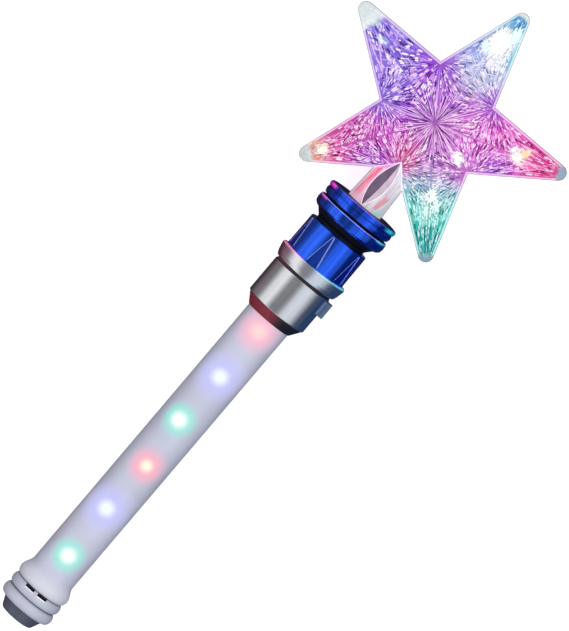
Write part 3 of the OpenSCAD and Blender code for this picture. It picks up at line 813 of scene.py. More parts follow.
def milk_colour(p):
    """Milky plastic: icy white next to the ribbed field, greyer out at the tip."""
    k = arm_of(p)
    reach = np.array([4.0, 7.5, 2.5, 0.8, 0.8])[k]
    t = np.clip((np.hypot(p[:, 0], p[:, 1]) - np.array(MILK_FROM)[k] - 0.6) / reach, 0, 1)[:, None]
    return MILK[k] * t + (0.35 * MILK[k] + 0.65 * np.array(lin(242, 252, 254))) * (1 - t)


ICE = np.array(lin(232, 253, 255))


def sat(c, f):
    """Darker and deeper: f below 1 keeps the hue and takes the light away."""
    top = np.maximum(c.max(-1, keepdims=True), 1e-6)
    return c * f * (c / top) ** (0.5 * (1 - f))


def vivid(c, f=1.13):
    m = c.mean(-1, keepdims=True)
    return np.clip(m + (c - m) * f, 0.0, 1.1)


def pale(c):
    """The light tint of a colour, for the facets that catch the lamp: rosy over the warm lamps, icy over the green and blue ones."""
    hue = c / np.maximum(c.max(-1, keepdims=True), 1e-6)
    icy = np.clip((c[..., 1:2] / np.maximum(c[..., 0:1] + c[..., 1:2], 1e-6) - 0.42) / 0.25, 0, 1)
    return 0.46 * hue ** 0.30 + 0.54 * (PALE * (1 - icy) + ICE * icy)


def base_colour(p):
    """The plastic between the facets, in painted light from the lamps inside."""
    c0, hot = star_fields(p)
    h = np.clip(hot.max(1, keepdims=True), 0, 1)
    col = 0.60 * c0 + 0.12 * pale(c0)
    col = col * (1 - h) + h * np.maximum(col, np.clip(hot, 0, 1))
    m = milky(p)[:, None]
    return vivid(col) * (1 - m) + milk_colour(p) * m


def rim_colour(p):
    c0, hot = star_fields(p)
    m = milky(p)[:, None]
    col = 0.14 * c0 + 0.82 * pale(c0) + 0.15 * np.clip(hot, 0, 1)
    return col * (1 - m) + milk_colour(p) * m


SPLASHES = [  # white bursts where a lamp is seen straight through: radius, angle, size along and across, turn, points, colour
    (51, 1.5, 9.5, 6.6, 0, 17, (255, 255, 255)), (45, 7, 4.5, 2.6, 30, 11, (232, 250, 255)), (58, -3, 6.5, 3.4, 0, 11, (236, 255, 255)), (39.5, -2, 3.4, 2.4, 0, 9, (250, 240, 252)),
    (43.5, 287, 3.6, 3.0, 20, 13, (255, 253, 250)), (41, 291.5, 3.2, 1.5, 50, 9, (255, 250, 255)), (47, 290.5, 3.0, 1.3, 10, 9, (255, 226, 186)), (45.5, 284.5, 2.6, 1.1, -40, 9, (255, 236, 224)),
    (20.5, 252.5, 4.0, 1.9, 18, 11, (255, 254, 250)), (23, 249, 3.2, 1.3, -6, 9, (255, 250, 255)), (19, 257, 3.0, 1.1, 40, 9, (255, 246, 255)),
    (36.5, 217, 4.6, 4.0, 0, 13, (248, 255, 254)), (41, 221, 4.6, 1.6, 4, 9, (232, 255, 250)), (44, 214, 4.0, 1.4, -4, 9, (224, 255, 248)),
    (57.6, 144, 3.4, 2.5, 0, 11, (255, 252, 240)), (61.5, 139.5, 1.8, 0.9, 0, 7, (238, 176, 118)), (61.5, 147.5, 1.8, 0.8, 0, 7, (240, 140, 96)),
    (48.5, 74, 1.9, 1.3, 20, 9, (226, 250, 255)), (46.5, 72.5, 1.2, 0.8, 0, 7, (214, 246, 255)), (31, 74, 1.5, 0.8, 40, 7, (244, 246, 255)), (40, 60.5, 1.6, 0.8, 70, 7, (255, 238, 255)),
]


def facets(seed):
    """The prism facets of one face of the star, as (outline, kind, tone, colour): strips that run from each notch to the arm's ridge and from the middle outwards, cut into lengths, with thin lines between them."""
    rng = np.random.default_rng(seed)
    out = []
    HN = NOTCH_R * math.sin(math.radians(36))

    def good(q, rim=RIM + 0.05):
        return edge_gap(q[None])[0] > rim and milky(q[None])[0] < 0.35

    def sliver(p0, p1, wd, kind, tone=0.0):
        n = (p1 - p0)[::-1] * [-1, 1] / np.linalg.norm(p1 - p0) * wd
        out.append((np.array([p0, p0 * 0.6 + p1 * 0.4 - n, p1, p0 * 0.6 + p1 * 0.4 + n]), kind, tone, None))

    for k in range(5):
        outer = (40.0, 41.0, 51.0, 41.0, 49.0)[k]
        for sg in (1, -1):
            ax, side = polar(1, 72 * k), polar(1, 72 * k + 90 * sg)
            N = polar(NOTCH_R, 72 * k + 36 * sg)
            N2 = polar(NOTCH_R, 72 * k - 36 * sg)

            def at(phi, d):
                f = math.radians(phi)
                return N + (ax * math.sin(f) - side * math.cos(f)) * d

            def ray_end(phi):
                return HN / math.cos(math.radians(phi)) - 0.12

            # facets in rays from the notch, finer where the rays spread
            for near, far, lo, hi in ((1.0, 6.5, 4.6, 6.8), (6.5, 13.0, 3.2, 4.8), (13.0, 23.0, 2.1, 3.2), (23.0, 60.0, 1.35, 2.05)):
                phi = -51.0 + rng.uniform(0, lo)
                while phi < 70.0:
                    wide = (1.5, 1.8, 1.0, 1.5, 1.15)[k] if near > 20 else (1.1, 1.25, 0.95, 1.05, 1.0)[k]
                    step = rng.uniform(lo, hi) * wide
                    f0, f1 = phi + 0.08 * step, phi + 0.92 * step
                    fm = (f0 + f1) / 2
                    tone = rng.uniform(-0.2, 0.2)
                    d = near + rng.uniform(-0.8, 0.8)
                    end = min(far, ray_end(f0), ray_end(f1))
                    while d < end - 0.5:
                        L = rng.uniform(1.6, 4.0) * (0.85 + 0.012 * d) * wide ** 1.2
                        e = min(d + L, end)
                        if rng.uniform() < 0.55:
                            q = np.array([at(fm, d), at(f0, d * 0.72 + e * 0.28), at(f0, d * 0.25 + e * 0.75), at(fm, e), at(f1, d * 0.3 + e * 0.7), at(f1, d * 0.75 + e * 0.25)])
                        else:
                            q = np.array([at(f0, d), at(f0 * 0.8 + f1 * 0.2, d * 0.1 + e * 0.9), at(f1, e), at(f0 * 0.2 + f1 * 0.8, d * 0.85 + e * 0.15)])
                        d = e + rng.uniform(0.03, 0.25)
                        if np.hypot(*q.mean(0)) < 12.0 + rng.uniform(-3.5, 3.5) or q.mean(0) @ ax > outer + rng.uniform(-4, 4) or not all(good(v) for v in q):
                            continue
                        out.append((q, 0, tone, None))
                    if rng.uniform() < 0.16:
                        ok = [v for v in np.linspace(near + rng.uniform(0, 3), min(far + rng.uniform(0, 9), ray_end(phi)), 7) if good(at(phi, v)) and np.hypot(*at(phi, v)) > 11]
                        if len(ok) > 2:
                            sliver(at(phi, ok[0]), at(phi, ok[-1]), rng.uniform(0.16, 0.27), 2 if rng.uniform() < 0.7 else 3)
                    phi += step
            # long facets that run out to the tip, side by side
            f = 0.03
            while f < 0.97:
                step = rng.uniform(0.10, 0.17)
                x, stop = outer + rng.uniform(-5, 3), MILK_FROM[k] - rng.uniform(-0.6, 1.5)
                tone = rng.uniform(-0.22, 0.22)
                while x < stop - 0.8:
                    e = min(x + rng.uniform(1.6, 5.2), stop)
                    g0, g1 = f + 0.08 * step, min(f + 0.92 * step, 0.985)

                    def run(x, g):
                        return ax * x + side * (g * ((STAR_D - x * math.cos(math.radians(72))) / math.sin(math.radians(72)) - (RIM + 0.15) / math.sin(math.radians(72))))

                    gm = (g0 + g1) / 2
                    if rng.uniform() < 0.5:
                        q = np.array([run(x, gm), run(x * 0.75 + e * 0.25, g0), run(x * 0.2 + e * 0.8, g0), run(e, gm), run(x * 0.3 + e * 0.7, g1), run(x * 0.7 + e * 0.3, g1)])
                    else:
                        q = np.array([run(x, g0), run(x * 0.1 + e * 0.9, g0 * 0.8 + g1 * 0.2), run(e, g1), run(x * 0.85 + e * 0.15, g0 * 0.2 + g1 * 0.8)])
                    x = e + rng.uniform(0.03, 0.3)
                    if np.linalg.norm(q[0] - q[-1]) > 0.02:
                        out.append((q, 0, tone, None))
                f += step
            # lines of the far fan, seen through, that cross the strips
            phi = 14.0
            while phi < 66:
                f = math.radians(phi)
                dr = ax * math.sin(f) + side * math.cos(f)
                d0 = HN / math.cos(f)
                lo, hi = d0 + rng.uniform(0.2, 6), d0 + rng.uniform(4, 22)
                ok = [v for v in np.linspace(lo, hi, 9) if good(N2 + dr * v)]
                if len(ok) > 2 and rng.uniform() < 0.8:
                    sliver(N2 + dr * ok[0], N2 + dr * ok[-1], rng.uniform(0.14, 0.28), 2 if rng.uniform() < 0.8 else 3)
                phi += rng.uniform(2.5, 6.5)
            # strips from the middle
            psi = 0.0
            while psi < 35.5:
                step = min(rng.uniform(2.6, 4.6), 36.0 - psi)
                g0, g1 = 72 * k + sg * (psi + 0.1 * step), 72 * k + sg * (psi + 0.9 * step)
                tone = rng.uniform(-0.2, 0.2)
                d, end = 0.5 + rng.uniform(0, 1.2), 12.0 + rng.uniform(0, 6.0)
                while d < end:
                    e = d + rng.uniform(3.0, 9.0)
                    m = d + 0.55 * (e - d)
                    q = np.array([polar(d, (g0 + g1) / 2), polar(m, g0), polar(e, (g0 + g1) / 2), polar(m, g1)])
                    if all(good(v) for v in q):
                        out.append((q, 1, tone, None))
                    d = e - 2.0
                if rng.uniform() < 0.55:
                    g = 72 * k + sg * (psi + rng.uniform(0, step))
                    sliver(polar(rng.uniform(0.8, 4), g), polar(rng.uniform(8, 21), g), rng.uniform(0.15, 0.27), 2 if rng.uniform() < 0.6 else 3)
                psi += step
        # long lines that run slantwise along the arm
        ax, side = polar(1, 72 * k), polar(1, 72 * k + 90)
        for i in range((8, 30, 6, 8, 20)[k]):
            x0 = rng.uniform(24, 50)
            x1 = x0 + rng.uniform(7, 22)
            g0 = rng.uniform(-0.85, 0.85)
            g1 = np.clip(g0 + rng.uniform(-0.6, 0.6), -0.9, 0.9)
            p0, p1 = (ax * x + side * g * ((STAR_D - x * math.cos(math.radians(72)) - RIM - 0.3) / math.sin(math.radians(72))) for x, g in ((x0, g0), (x1, g1)))
            if good(p0) and good(p1):
                sliver(p0, p1, rng.uniform(0.15, 0.3), 2 if rng.uniform() < 0.75 else 3)
        # the valley line, and the long rays of the middle
        sliver(polar(NOTCH_R - RIM - 0.4, 72 * k + 36), polar(2.0, 72 * k + 36), 0.2, 2)
        for i in range(9):
            g = 72 * k - 34 + 68 * (i + rng.uniform(0.1, 0.9)) / 9
            sliver(polar(rng.uniform(2, 9), g), polar(rng.uniform(16, 27), g), rng.uniform(0.15, 0.26), 2 if rng.uniform() < 0.55 else 3)
    for r, a, la, lb, turn, n, c in SPLASHES:
        m, an = polar(r, a), a + turn
        q = []
        for i in range(n * 2):
            t = 2 * math.pi * i / (2 * n)
            s_ = rng.uniform(0.82, 1.15) if i % 2 == 0 else rng.uniform(0.45, 0.68)
            q.append(m + polar(la * s_ * math.cos(t), an) + polar(lb * s_ * math.sin(t), an + 90))
        q = [v if good(v, 0.6) else m + (v - m) * 0.6 for v in q]
        out.append((np.array(q), 4, 0.0, c))
    return out


def facet_colours(fs, seed):
    rng = np.random.default_rng(seed + 1)
    mids = np.array([f[0].mean(0) for f in fs])
    c0, hot = star_fields(mids)
    h = hot.max(1)
    cols = []
    others = np.array([lin(150, 116, 214), lin(244, 104, 206), lin(224, 60, 116), lin(150, 150, 200)])
    for i, (q, kind, tone, own) in enumerate(fs):
        if kind == 4:
            cols.append(np.array(lin(*own)))
            continue
        c, x = c0[i], rng.uniform()
        if rng.uniform() < 0.35 and c[1] < 0.9 * c[0]:
            c = c + (others[rng.integers(4)] - c) * rng.uniform(0.1, 0.45)
        pl = pale(c)
        if kind == 2:
            col = 0.18 * c + 0.80 * pl
        elif kind == 3:
            col = sat(c, 0.30)
        else:
            x = np.clip((0.97 * x if kind == 1 else x) + tone, 0, 1)
            if x < 0.17:
                col = sat(c, 0.32)
            elif x < 0.35:
                col = sat(c, 0.86)
            elif x < 0.52:
                col = 0.74 * c + 0.25 * pl
            elif x < 0.80:
                col = 0.30 * c + 0.66 * pl
            else:
                col = 0.30 * pl + 0.72 * np.array([1.0, 0.93, 1.0])
        w = np.clip((h[i] + rng.uniform(-0.3, 0.3) - 0.35) / 0.25, 0, 1)
        cols.append(col * (1 - w) + w * np.clip(hot[i] / max(h[i], 1e-6), 0, 1) + 0.2 * min(h[i], 0.6) * PALE * (1 - w))
    return vivid(np.clip(np.array(cols), 0, 1.1))


def star_material():
    """Clear ribbed plastic lit from inside: each facet's light is in the mesh's own colours, with a little haze over it."""
    m = Mat("star_ribbed_plastic")
    p = m.coords()
    att = m.node("ShaderNodeAttribute", attribute_name="glow")
    haze = m.noise(p, 0.6, 3)
    col = m.mix(1.0, att.outputs["Color"], m.mix(m.step(haze, 0.3, 0.7), (0.93, 0.93, 0.93), (1.05, 1.05, 1.05)), "MULTIPLY")
    pr = m.shader(Base_Color=m.mix(1.0, col, (0.10, 0.10, 0.10), "MULTIPLY"), Emission_Color=col, Emission_Strength=0.94)
    m.put(pr.inputs["Roughness"], m.step(haze, 0.3, 0.7, 0.14, 0.24))
    pr.inputs["IOR"].default_value = 1.5
    pr.inputs["Specular IOR Level"].default_value = 0.12
    return m


M_STAR = star_material()


def star_shell(name, side, seed):
    """One half of the star: a hollow shell with a raised clear rim, and the prism facets on its face as small closed pyramids."""
    verts, faces, cols, uvs, flat = [], [], [], [], []

    def spot(q):
        return 0.5 + q * 0.0068

    def corner(q):
        return 0.985 + q * 0.00012

    inner = star_outline(RIM)
    n = len(inner)
    grey = np.array(lin(140, 130, 144))
    rows = []                                        # (points, height, colours, map)
    for i in range(1, 35):
        q = inner * (i / 34)
        rows.append((q, roof(q), base_colour(q), spot(q)))
    # painted shade: the rim goes grey at the star's outline and darker down its sides
    for g, dz, f in ((1.28, -0.22, 0.0), (0.95, -0.28, 0.0), (0.62, -0.16, 0.0), (0.34, 0.06, 0.25), (0.16, 0.32, 0.75), (0.0, 0.9, 0.95)):
        q = star_outline(g)
        c = rim_colour(q) if g < 1.0 else 0.55 * rim_colour(q) + 0.45 * base_colour(q)
        rows.append((q, roof(q) - dz, c * (1 - f) + grey * f, spot(q)))
    q = star_outline(0.0)
    rows.append((q, roof(q) - 1.15, rim_colour(q) * 0.8, spot(q * 1.004)))
    rows.append((q, np.full(n, 0.9), rim_colour(q) * 0.72 + grey * 0.1, spot(q * 1.012)))
    q = star_outline(0.12)
    rows.append((q, np.full(n, 0.03), rim_colour(q) * 0.6 + grey * 0.06, spot(q * 1.03)))
    q = star_outline(2.2)
    rows.append((q, np.full(n, 0.03), base_colour(q), corner(q)))
    rows.append((q, np.maximum(roof(q, STAR_H - 1.8), 0.5), base_colour(q), corner(q)))
    rows.append((q * 0.5, np.maximum(roof(q * 0.5, STAR_H - 1.8), 0.03), base_colour(q * 0.5), corner(q * 0.5)))

    def add_face(ids, c, uv, is_flat):
        if side < 0:
            ids, c, uv = ids[::-1], c[::-1], uv[::-1]
        faces.append(tuple(int(v) for v in ids))
        cols.extend(c)
        uvs.extend(uv)
        flat.append(is_flat)

    def put(q, z):
        s = len(verts)
        verts.extend(W(STAR_U + a[0], a[1], side * b) for a, b in zip(q, z))
        return s

    o = np.zeros((1, 2))
    mid = put(o, [STAR_H])
    starts = [put(r[0], r[1]) for r in rows]
    back = put(o, [STAR_H - 1.8])
    oc = base_colour(o)[0]
    q0, _, c0, m0 = rows[0]
    for i in range(n):
        j = (i + 1) % n
        add_face([mid, starts[0] + i, starts[0] + j], [oc, c0[i], c0[j]], [spot(o)[0], m0[i], m0[j]], False)
    for k in range(len(rows) - 1):
        a, b = starts[k], starts[k + 1]
        (_, _, ca, ma), (_, _, cb, mb) = rows[k], rows[k + 1]
        for i in range(n):
            j = (i + 1) % n
            add_face([a + i, b + i, b + j, a + j], [ca[i], cb[i], cb[j], ca[j]], [ma[i], mb[i], mb[j], ma[j]], False)
    _, _, ca, ma = rows[-1]
    for i in range(n):
        j = (i + 1) % n
        add_face([starts[-1] + i, back, starts[-1] + j], [ca[i], oc, ca[j]], [ma[i], corner(o)[0], ma[j]], False)

    fs = facets(seed)
    fc = facet_colours(fs, seed)
    rng = np.random.default_rng(seed + 9)
    tops = []
    for i in sorted(range(len(fs)), key=lambda t: fs[t][1]):
        q, kind = fs[i][0], fs[i][1]
        k = len(q)
        if sum(q[t][0] * q[(t + 1) % k][1] - q[(t + 1) % k][0] * q[t][1] for t in range(k)) < 0:
            q = q[::-1]
        apex = q.mean(0)[None]
        lift = (0.03, 0.04, 0.10, 0.08, 0.22)[kind]
        wide = min(np.linalg.norm(q[0] - q[k // 2]), np.linalg.norm(q[1] - q[(1 + k // 2) % k]))
        rise = min(0.22, 0.05 + 0.14 * wide) if kind < 4 else 0.12
        if kind < 2:
            low = top = put(q, roof(q) - 0.01)
        else:
            low = put(q, roof(q) - 0.12)
            top = put(q, roof(q) + lift)
        tip = put(apex, roof(apex) + lift + rise)
        add_face(list(range(low + k - 1, low - 1, -1)), [fc[i]] * k, list(corner(q[::-1])), True)
        for t in range(k):
            s = (t + 1) % k
            # painted shade: the raised facets' sides are darker than their tops
            if kind > 1:
                add_face([low + t, low + s, top + s, top + t], [fc[i] * 0.8] * 4, [corner(q[t]), corner(q[s]), corner(q[s]), corner(q[t])], True)
            # each top triangle gets its own random brightness, as painted facet shading
            tops.append(([top + t, top + s, tip], [np.clip(fc[i] * (1 + rng.uniform(-0.16, 0.14)), 0, 1.15)] * 3 if kind < 4 else [fc[i]] * 3, [spot(q[t]), spot(q[s]), spot(apex)[0]], True))
    for t in tops:
        add_face(*t)

    me = bpy.data.meshes.new(name)
    me.from_pydata(verts, [], faces)
    me.update()
    at = me.color_attributes.new("glow", "FLOAT_COLOR", "CORNER")
    full = np.ones((len(cols), 4), np.float32)
    full[:, :3] = np.array(cols)
    at.data.foreach_set("color", full.ravel())
    uv = me.uv_layers.new(name="OFBake")
    uv.data.foreach_set("uv", np.array(uvs, np.float32).ravel())
    me.polygons.foreach_set("use_smooth", [not f for f in flat])
    me.set_sharp_from_angle(angle=math.radians(12))
    me.materials.append(M_STAR.m)
    ob = bpy.data.objects.new(name, me)
    bpy.context.scene.collection.objects.link(ob)
    return ob


use(star_shell("star_shell_front", 1, 7), "wand", "clear_plastic", "star_front_shell")
use(star_shell("star_shell_back", -1, 23), "wand", "clear_plastic", "star_back_shell")

# ---------------------------------------------------------------- neck
def neck_material():
    """Clear plastic that carries the star's light down: pink on the left, teal low on the right, grey where it is thin."""
    m = Mat("neck_clear")
    p = m.coords()
    u, y, z = m.split(p)
    rr = m.step(u, 272.0, 290.0, 10.2, 9.3, kind="LINEAR")
    yn = m.math("DIVIDE", y, rr)
    ya = m.math("ABSOLUTE", yn)
    streak = m.noise(m.xyz(m.math("MULTIPLY", u, 0.07), m.math("MULTIPLY", y, 0.7), m.math("MULTIPLY", z, 0.2)), 1.0, 2)
    col = m.mix(m.step(streak, 0.35, 0.65), lin(206, 196, 208), lin(228, 222, 230))
    col = m.mix(m.step(yn, 0.05, 0.5), col, m.mix(m.step(streak, 0.3, 0.7), lin(222, 182, 198), lin(236, 212, 224)))
    pink = m.math("MULTIPLY", band(m, yn, 0.56, 0.88, 0.1), m.step(u, 269.5, 274.0))
    col = m.mix(pink, col, m.mix(m.step(streak, 0.35, 0.65), lin(244, 104, 142), lin(252, 156, 186)))
    low = m.math("MULTIPLY", m.step(u, 276.0, 272.0), m.step(yn, 0.1, 0.5))
    col = m.mix(m.math("MULTIPLY", low, 0.7), col, lin(240, 200, 226))
    lean = m.math("ADD", y, m.math("MULTIPLY", m.math("SUBTRACT", u, 274.5), 0.22))
    red = m.math("MULTIPLY", band(m, lean, -5.9, -3.5, 0.6), band(m, u, 273.5, 281.5, 1.4))
    col = m.mix(m.math("MULTIPLY", red, 0.8), col, lin(222, 138, 150))
    teal = m.math("MULTIPLY", band(m, y, -8.6, -5.8, 0.7), m.step(u, 276.5, 272.5))
    col = m.mix(m.math("MULTIPLY", teal, 0.85), col, lin(166, 224, 226))
    # a painted highlight line near the neck's sides, and painted shade at their very edges
    col = m.mix(m.math("MULTIPLY", band(m, ya, 0.90, 0.95, 0.02), 0.8), col, lin(250, 244, 250))
    col = m.mix(m.math("MULTIPLY", m.step(ya, 0.955, 0.975), 0.8), col, lin(150, 132, 142))
    pr = m.shader(Base_Color=m.mix(1.0, col, (0.6, 0.6, 0.6), "MULTIPLY"), Emission_Color=col, Emission_Strength=0.42)
    m.put(pr.inputs["Roughness"], m.step(streak, 0.3, 0.7, 0.08, 0.16))
    pr.inputs["IOR"].default_value = 1.5
    return m


def root_material():
    """The neck's root on the star's face, glowing with painted light from the star: pink to violet on its left, icy on
    its right.
    """
    m = Mat("neck_root")
    p = m.coords()
    u, y, z = m.split(p)
    streak = m.noise(m.xyz(m.math("MULTIPLY", u, 0.1), m.math("MULTIPLY", y, 0.9), m.math("MULTIPLY", z, 0.2)), 1.0, 2)
    warm = m.mix(m.step(u, 290.0, 298.5), lin(244, 146, 196), lin(196, 146, 238))
    cold = m.mix(m.step(streak, 0.35, 0.65), lin(206, 222, 234), lin(236, 240, 246))
    col = m.mix(m.step(y, -0.6, 1.2), cold, m.mix(m.math("MULTIPLY", m.step(streak, 0.4, 0.7), 0.4), warm, lin(250, 206, 236)))
    pr = m.shader(Base_Color=m.mix(1.0, col, (0.6, 0.6, 0.6), "MULTIPLY"), Emission_Color=col, Emission_Strength=0.42)
    m.put(pr.inputs["Roughness"], m.step(streak, 0.3, 0.7, 0.1, 0.18))
    return m


M_NECK = neck_material()
M_ROOT = root_material()
# painted light and shade: a shaded and a lit copy for the leaf's two facets, and a pale glow for the beads round the
# leaf and the neck's root, as painted highlights
M_LEAF_SHADED = plain("leaf_painted_shade", lin(94, 76, 100), 0.2, 0.0, 0.35, 0.12, 0.25)
M_LEAF_LIT = plain("leaf_painted_lit", lin(178, 162, 176), 0.2, 0.0, 0.38, 0.07, 0.3)
M_LEAF_HIGHLIGHT = plain("leaf_edge_highlight", lin(236, 216, 238), 0.2, 0.0, 0.45, 0.05, 0.5)


def neck_half(u):
    if u < 272.5:
        return 10.2
    return max(2.6, 10.2 - (10.2 - 2.6) * (u - 272.5) / (294.0 - 272.5))


def neck_r(u):
    return 10.2 if u < 272 else 10.2 - 0.9 * (u - 272) / 18 if u < 290 else 9.3


def neck():
    seg, steps = 120, 48
    verts, faces = [], []
    for i in range(steps + 1):
        for j in range(seg):
            a = 2 * math.pi * j / seg
            ye = abs(9.3 * math.sin(a))
            uend = STAR_U - NOTCH_R - 0.2 - ye / math.tan(math.radians(54))
            u = 260.2 + (uend - 260.2) * i / steps
            r = neck_r(u)
            zc = neck_half(u)
            y, z = r * math.sin(a), r * math.cos(a)
            z = max(-zc, min(zc, z))
            verts.append(W(u, y, z))
    for i in range(steps):
        for j in range(seg):
            faces.append((i * seg + j, i * seg + (j + 1) % seg, (i + 1) * seg + (j + 1) % seg, (i + 1) * seg + j))
    c0 = len(verts)
    verts.append(W(260.2, 0, 0))
    c1 = len(verts)
    verts.append(W(STAR_U - NOTCH_R - 0.2, 0, 0))
    for j in range(seg):
        faces.append((c0, (j + 1) % seg, j))
        faces.append((c1, steps * seg + j, steps * seg + (j + 1) % seg))
    return mesh_object("neck_body", verts, faces, M_NECK, 25)


ROOT_U = 299.7


def on_star(u, y):
    """The height of the neck's root over the star's face."""
    return float(roof(np.array([[u - STAR_U, y]]))[0]) + 0.42


def root(side):
    """Where the neck runs up onto the star: two thin facets over the notch, with a pale bead along their edges as a
    painted highlight.
    """
    notch = STAR_U - NOTCH_R
    back = notch - 9.3 / math.tan(math.radians(54))
    obs = []
    for s in (1, -1):
        flat = [(ROOT_U, 0.0), (back + 0.2, s * 9.25), (notch - 0.7, 0.0)]
        verts = [W(u, y, side * on_star(u, y)) for u, y in flat] + [W(u, y, side * (on_star(u, y) - 1.0)) for u, y in flat]
        faces = [(0, 1, 2), (5, 4, 3)] + [(i, (i + 1) % 3, 3 + (i + 1) % 3, 3 + i) for i in range(3)]
        obs.append(mesh_object("neck_root_half", verts, faces, M_ROOT, 0))
        pts = []
        for i in range(13):
            t = i / 12
            u, y = ROOT_U + (back + 0.2 - ROOT_U) * t, s * 9.25 * t
            pts.append((u, y, side * (on_star(u, y) + 0.02)))
        obs.append(tube_path("neck_root_highlight_bead", pts, 0.16 if s > 0 else 0.24, M_LEAF_HIGHLIGHT, 8))
    return join("neck_root_front" if side > 0 else "neck_root_back", obs)


def leaf(side):
    """The leaf-shaped facet pair on the neck's sloping face: a ridge right of the middle, one facet painted lit and the
    other in painted shade, a pale bead round it as a painted highlight.
    """
    obs = []
    n = 44
    u0, u1 = 271.3, ROOT_U - 0.3

    def half(t):
        return 4.2 * math.sin(math.pi * t ** 0.92) ** 0.82 if 0 < t < 1 else 0.0

    def mid(t):
        return 1.5 * (1 - t) ** 1.2 + 0.15

    def ground(u, y):
        low = min(neck_half(u), math.sqrt(max(0.0, neck_r(u) ** 2 - y * y)))
        return max(low, on_star(u, y)) if u > 288.0 else low

    RIDGE = -0.2
    for lo, hi, mat in ((RIDGE, 1.0, M_LEAF_SHADED), (-1.0, RIDGE, M_LEAF_LIT)):
        verts, faces = [], []
        for i in range(n + 1):
            t = i / n
            u = u0 + (u1 - u0) * t
            bulge = math.sin(math.pi * t)
            for lift in (1, 0):
                for j in range(6):
                    q = lo + (hi - lo) * j / 5
                    y = mid(t) + half(t) * q
                    edge = (1 - q) / (1 - RIDGE) if q > RIDGE else (1 + q) / (1 + RIDGE)
                    z = ground(u, y) + 0.08 + 0.45 * edge * bulge if lift else ground(u, y) - 0.35
                    verts.append(W(u, y, side * z))
        for i in range(n):
            a, b = i * 12, (i + 1) * 12
            for j in range(5):
                faces.append((a + j, a + j + 1, b + j + 1, b + j))
                faces.append((a + 6 + j, b + 6 + j, b + 7 + j, a + 7 + j))
            for j in (0, 5):
                faces.append((a + j, b + j, b + 6 + j, a + 6 + j))
        for a in (0, n * 12):
            for j in range(5):
                faces.append((a + j, a + j + 1, a + 7 + j, a + 6 + j))
        obs.append(mesh_object("leaf_half", verts, faces, mat, 30))
    for q in (1.0, -1.0):
        pts = []
        for i in range(n + 1):
            t = i / n
            u = u0 + (u1 - u0) * t
            y = mid(t) + half(t) * q
            pts.append((u, y, side * (ground(u, y) + 0.1)))
        obs.append(tube_path("leaf_highlight_bead", pts, 0.2, M_LEAF_HIGHLIGHT, 8))
    return join("neck_leaf_front" if side > 0 else "neck_leaf_back", obs)


use(neck(), "wand", "clear_plastic", "star_neck")
use(leaf(1), "wand", "clear_plastic")
use(leaf(-1), "wand", "clear_plastic")
use(root(1), "wand", "clear_plastic")
use(root(-1), "wand", "clear_plastic")

# ---------------------------------------------------------------- stage
def floor_material():
    m = Mat("floor_white")
    p = m.coords()
    n = m.noise(p, 0.02, 2)
    m.shader(Base_Color=m.mix(m.step(n, 0.3, 0.7), (0.925, 0.925, 0.925), (0.935, 0.935, 0.935)), Roughness=0.9, Emission_Color=(1.0, 1.0, 1.0), Emission_Strength=0.55)
    return m


fl = bpy.data.meshes.new("floor")
fl.from_pydata([(-4, -4, -0.0005), (4, -4, -0.0005), (4, 4, -0.0005), (-4, 4, -0.0005)], [], [(0, 1, 2, 3)])
fl.materials.append(floor_material().m)
floor = bpy.data.objects.new("floor", fl)
bpy.context.scene.collection.objects.link(floor)
floor.visible_glossy = False
floor.visible_diffuse = False


def area(name, loc, target, size, power, col=(1, 1, 1), glossy=True):
    li = bpy.data.lights.new(name, "AREA")
    li.shape = "RECTANGLE"
    li.size, li.size_y = size
    li.energy = power
    li.color = col
    ob = bpy.data.objects.new(name, li)
    bpy.context.scene.collection.objects.link(ob)
    ob.location = loc
    ob.rotation_euler = (Vector(target) - Vector(loc)).to_track_quat("-Z", "Y").to_euler()
    ob.visible_glossy = glossy
    ob.visible_camera = False
    return ob


area("overhead_soft", (0.2, -0.1, 1.6), (0, 0, 0), (2.6, 2.2), 28.0, (1.0, 0.99, 0.98), glossy=False)

world = bpy.data.worlds.new("studio")
bpy.context.scene.world = world
world.use_nodes = True
wt = world.node_tree
wt.nodes.clear()


class World(Mat):
    def __init__(self, tree):
        self.t = tree


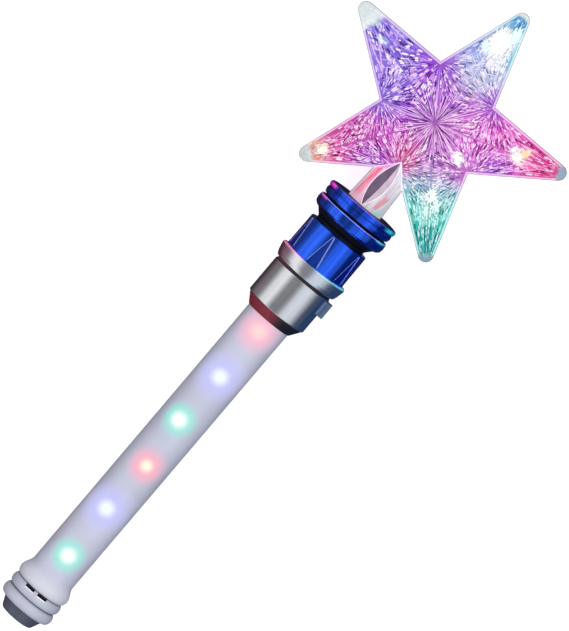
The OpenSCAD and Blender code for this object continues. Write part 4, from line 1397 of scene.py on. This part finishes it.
# two long soft boxes beside the wand, a grey ceiling between them
w = World(wt)
wo = wt.nodes.new("ShaderNodeOutputWorld")
tc = wt.nodes.new("ShaderNodeTexCoord")
dx, dy, dz = w.split(tc.outputs["Generated"])
ang = w.math("DIVIDE", w.math("ARCTAN2", dy, dz), math.radians(1.0))
lbox = w.math("MULTIPLY", w.step(ang, 20.0, 46.0), w.step(ang, 58.0, 90.0, 1.0, 0.0))
rbox = w.math("MULTIPLY", w.step(ang, -3.0, -28.0), w.step(ang, -47.0, -86.0, 1.0, 0.0))
lower = w.mix(w.step(ang, 108.0, 146.0), (0.21, 0.17, 0.20), (0.05, 0.033, 0.045))
under = w.mix(w.step(dy, -0.3, 0.4), (0.028, 0.06, 0.16), lower)
sky = w.mix(w.step(dz, -0.3, 0.2), under, (0.255, 0.26, 0.275))
sky = w.mix(w.math("MULTIPLY", w.step(ang, -60.0, -90.0), w.step(dz, -0.3, 0.0)), sky, (0.06, 0.085, 0.15))
sky = w.mix(lbox, sky, (1.05, 1.05, 1.07))
sky = w.mix(rbox, sky, (0.86, 0.90, 0.98))
bg = wt.nodes.new("ShaderNodeBackground")
path = wt.nodes.new("ShaderNodeLightPath")
soft = w.mix(w.step(dz, -0.5, 0.5), (0.30, 0.30, 0.31), (0.36, 0.36, 0.37))
sky = w.mix(path.outputs["Is Diffuse Ray"], sky, soft)
sky = w.mix(path.outputs["Is Camera Ray"], sky, (0.92, 0.92, 0.93))
wt.links.new(sky, bg.inputs[0])
bg.inputs[1].default_value = 1.0
wt.links.new(bg.outputs[0], wo.inputs[0])

# ---------------------------------------------------------------- camera
TILT = math.radians(5.5)
ROLL = math.radians(49.652)
DIST = 2.5
target = Vector(W(203.39, -4.86, 0))
zc = Vector((math.sin(TILT), 0, math.cos(TILT)))
ex = (Vector((1, 0, 0)) - zc * zc.x).normalized()
ey = zc.cross(ex)
right = ex * math.cos(ROLL) - ey * math.sin(ROLL)
upv = ex * math.sin(ROLL) + ey * math.cos(ROLL)
cam = bpy.data.cameras.new("camera")
cam.sensor_width = 36
cam.lens = 36 * (DIST / 0.0005) / 631 * 1.003
cam.clip_end = 20
co = bpy.data.objects.new("camera", cam)
bpy.context.scene.collection.objects.link(co)
co.matrix_world = Matrix((right, upv, zc)).transposed().to_4x4()
co.matrix_world.translation = target + zc * DIST
bpy.context.scene.camera = co

bpy.context.scene.view_settings.view_transform = "Standard"
bpy.context.scene.view_settings.look = "None"
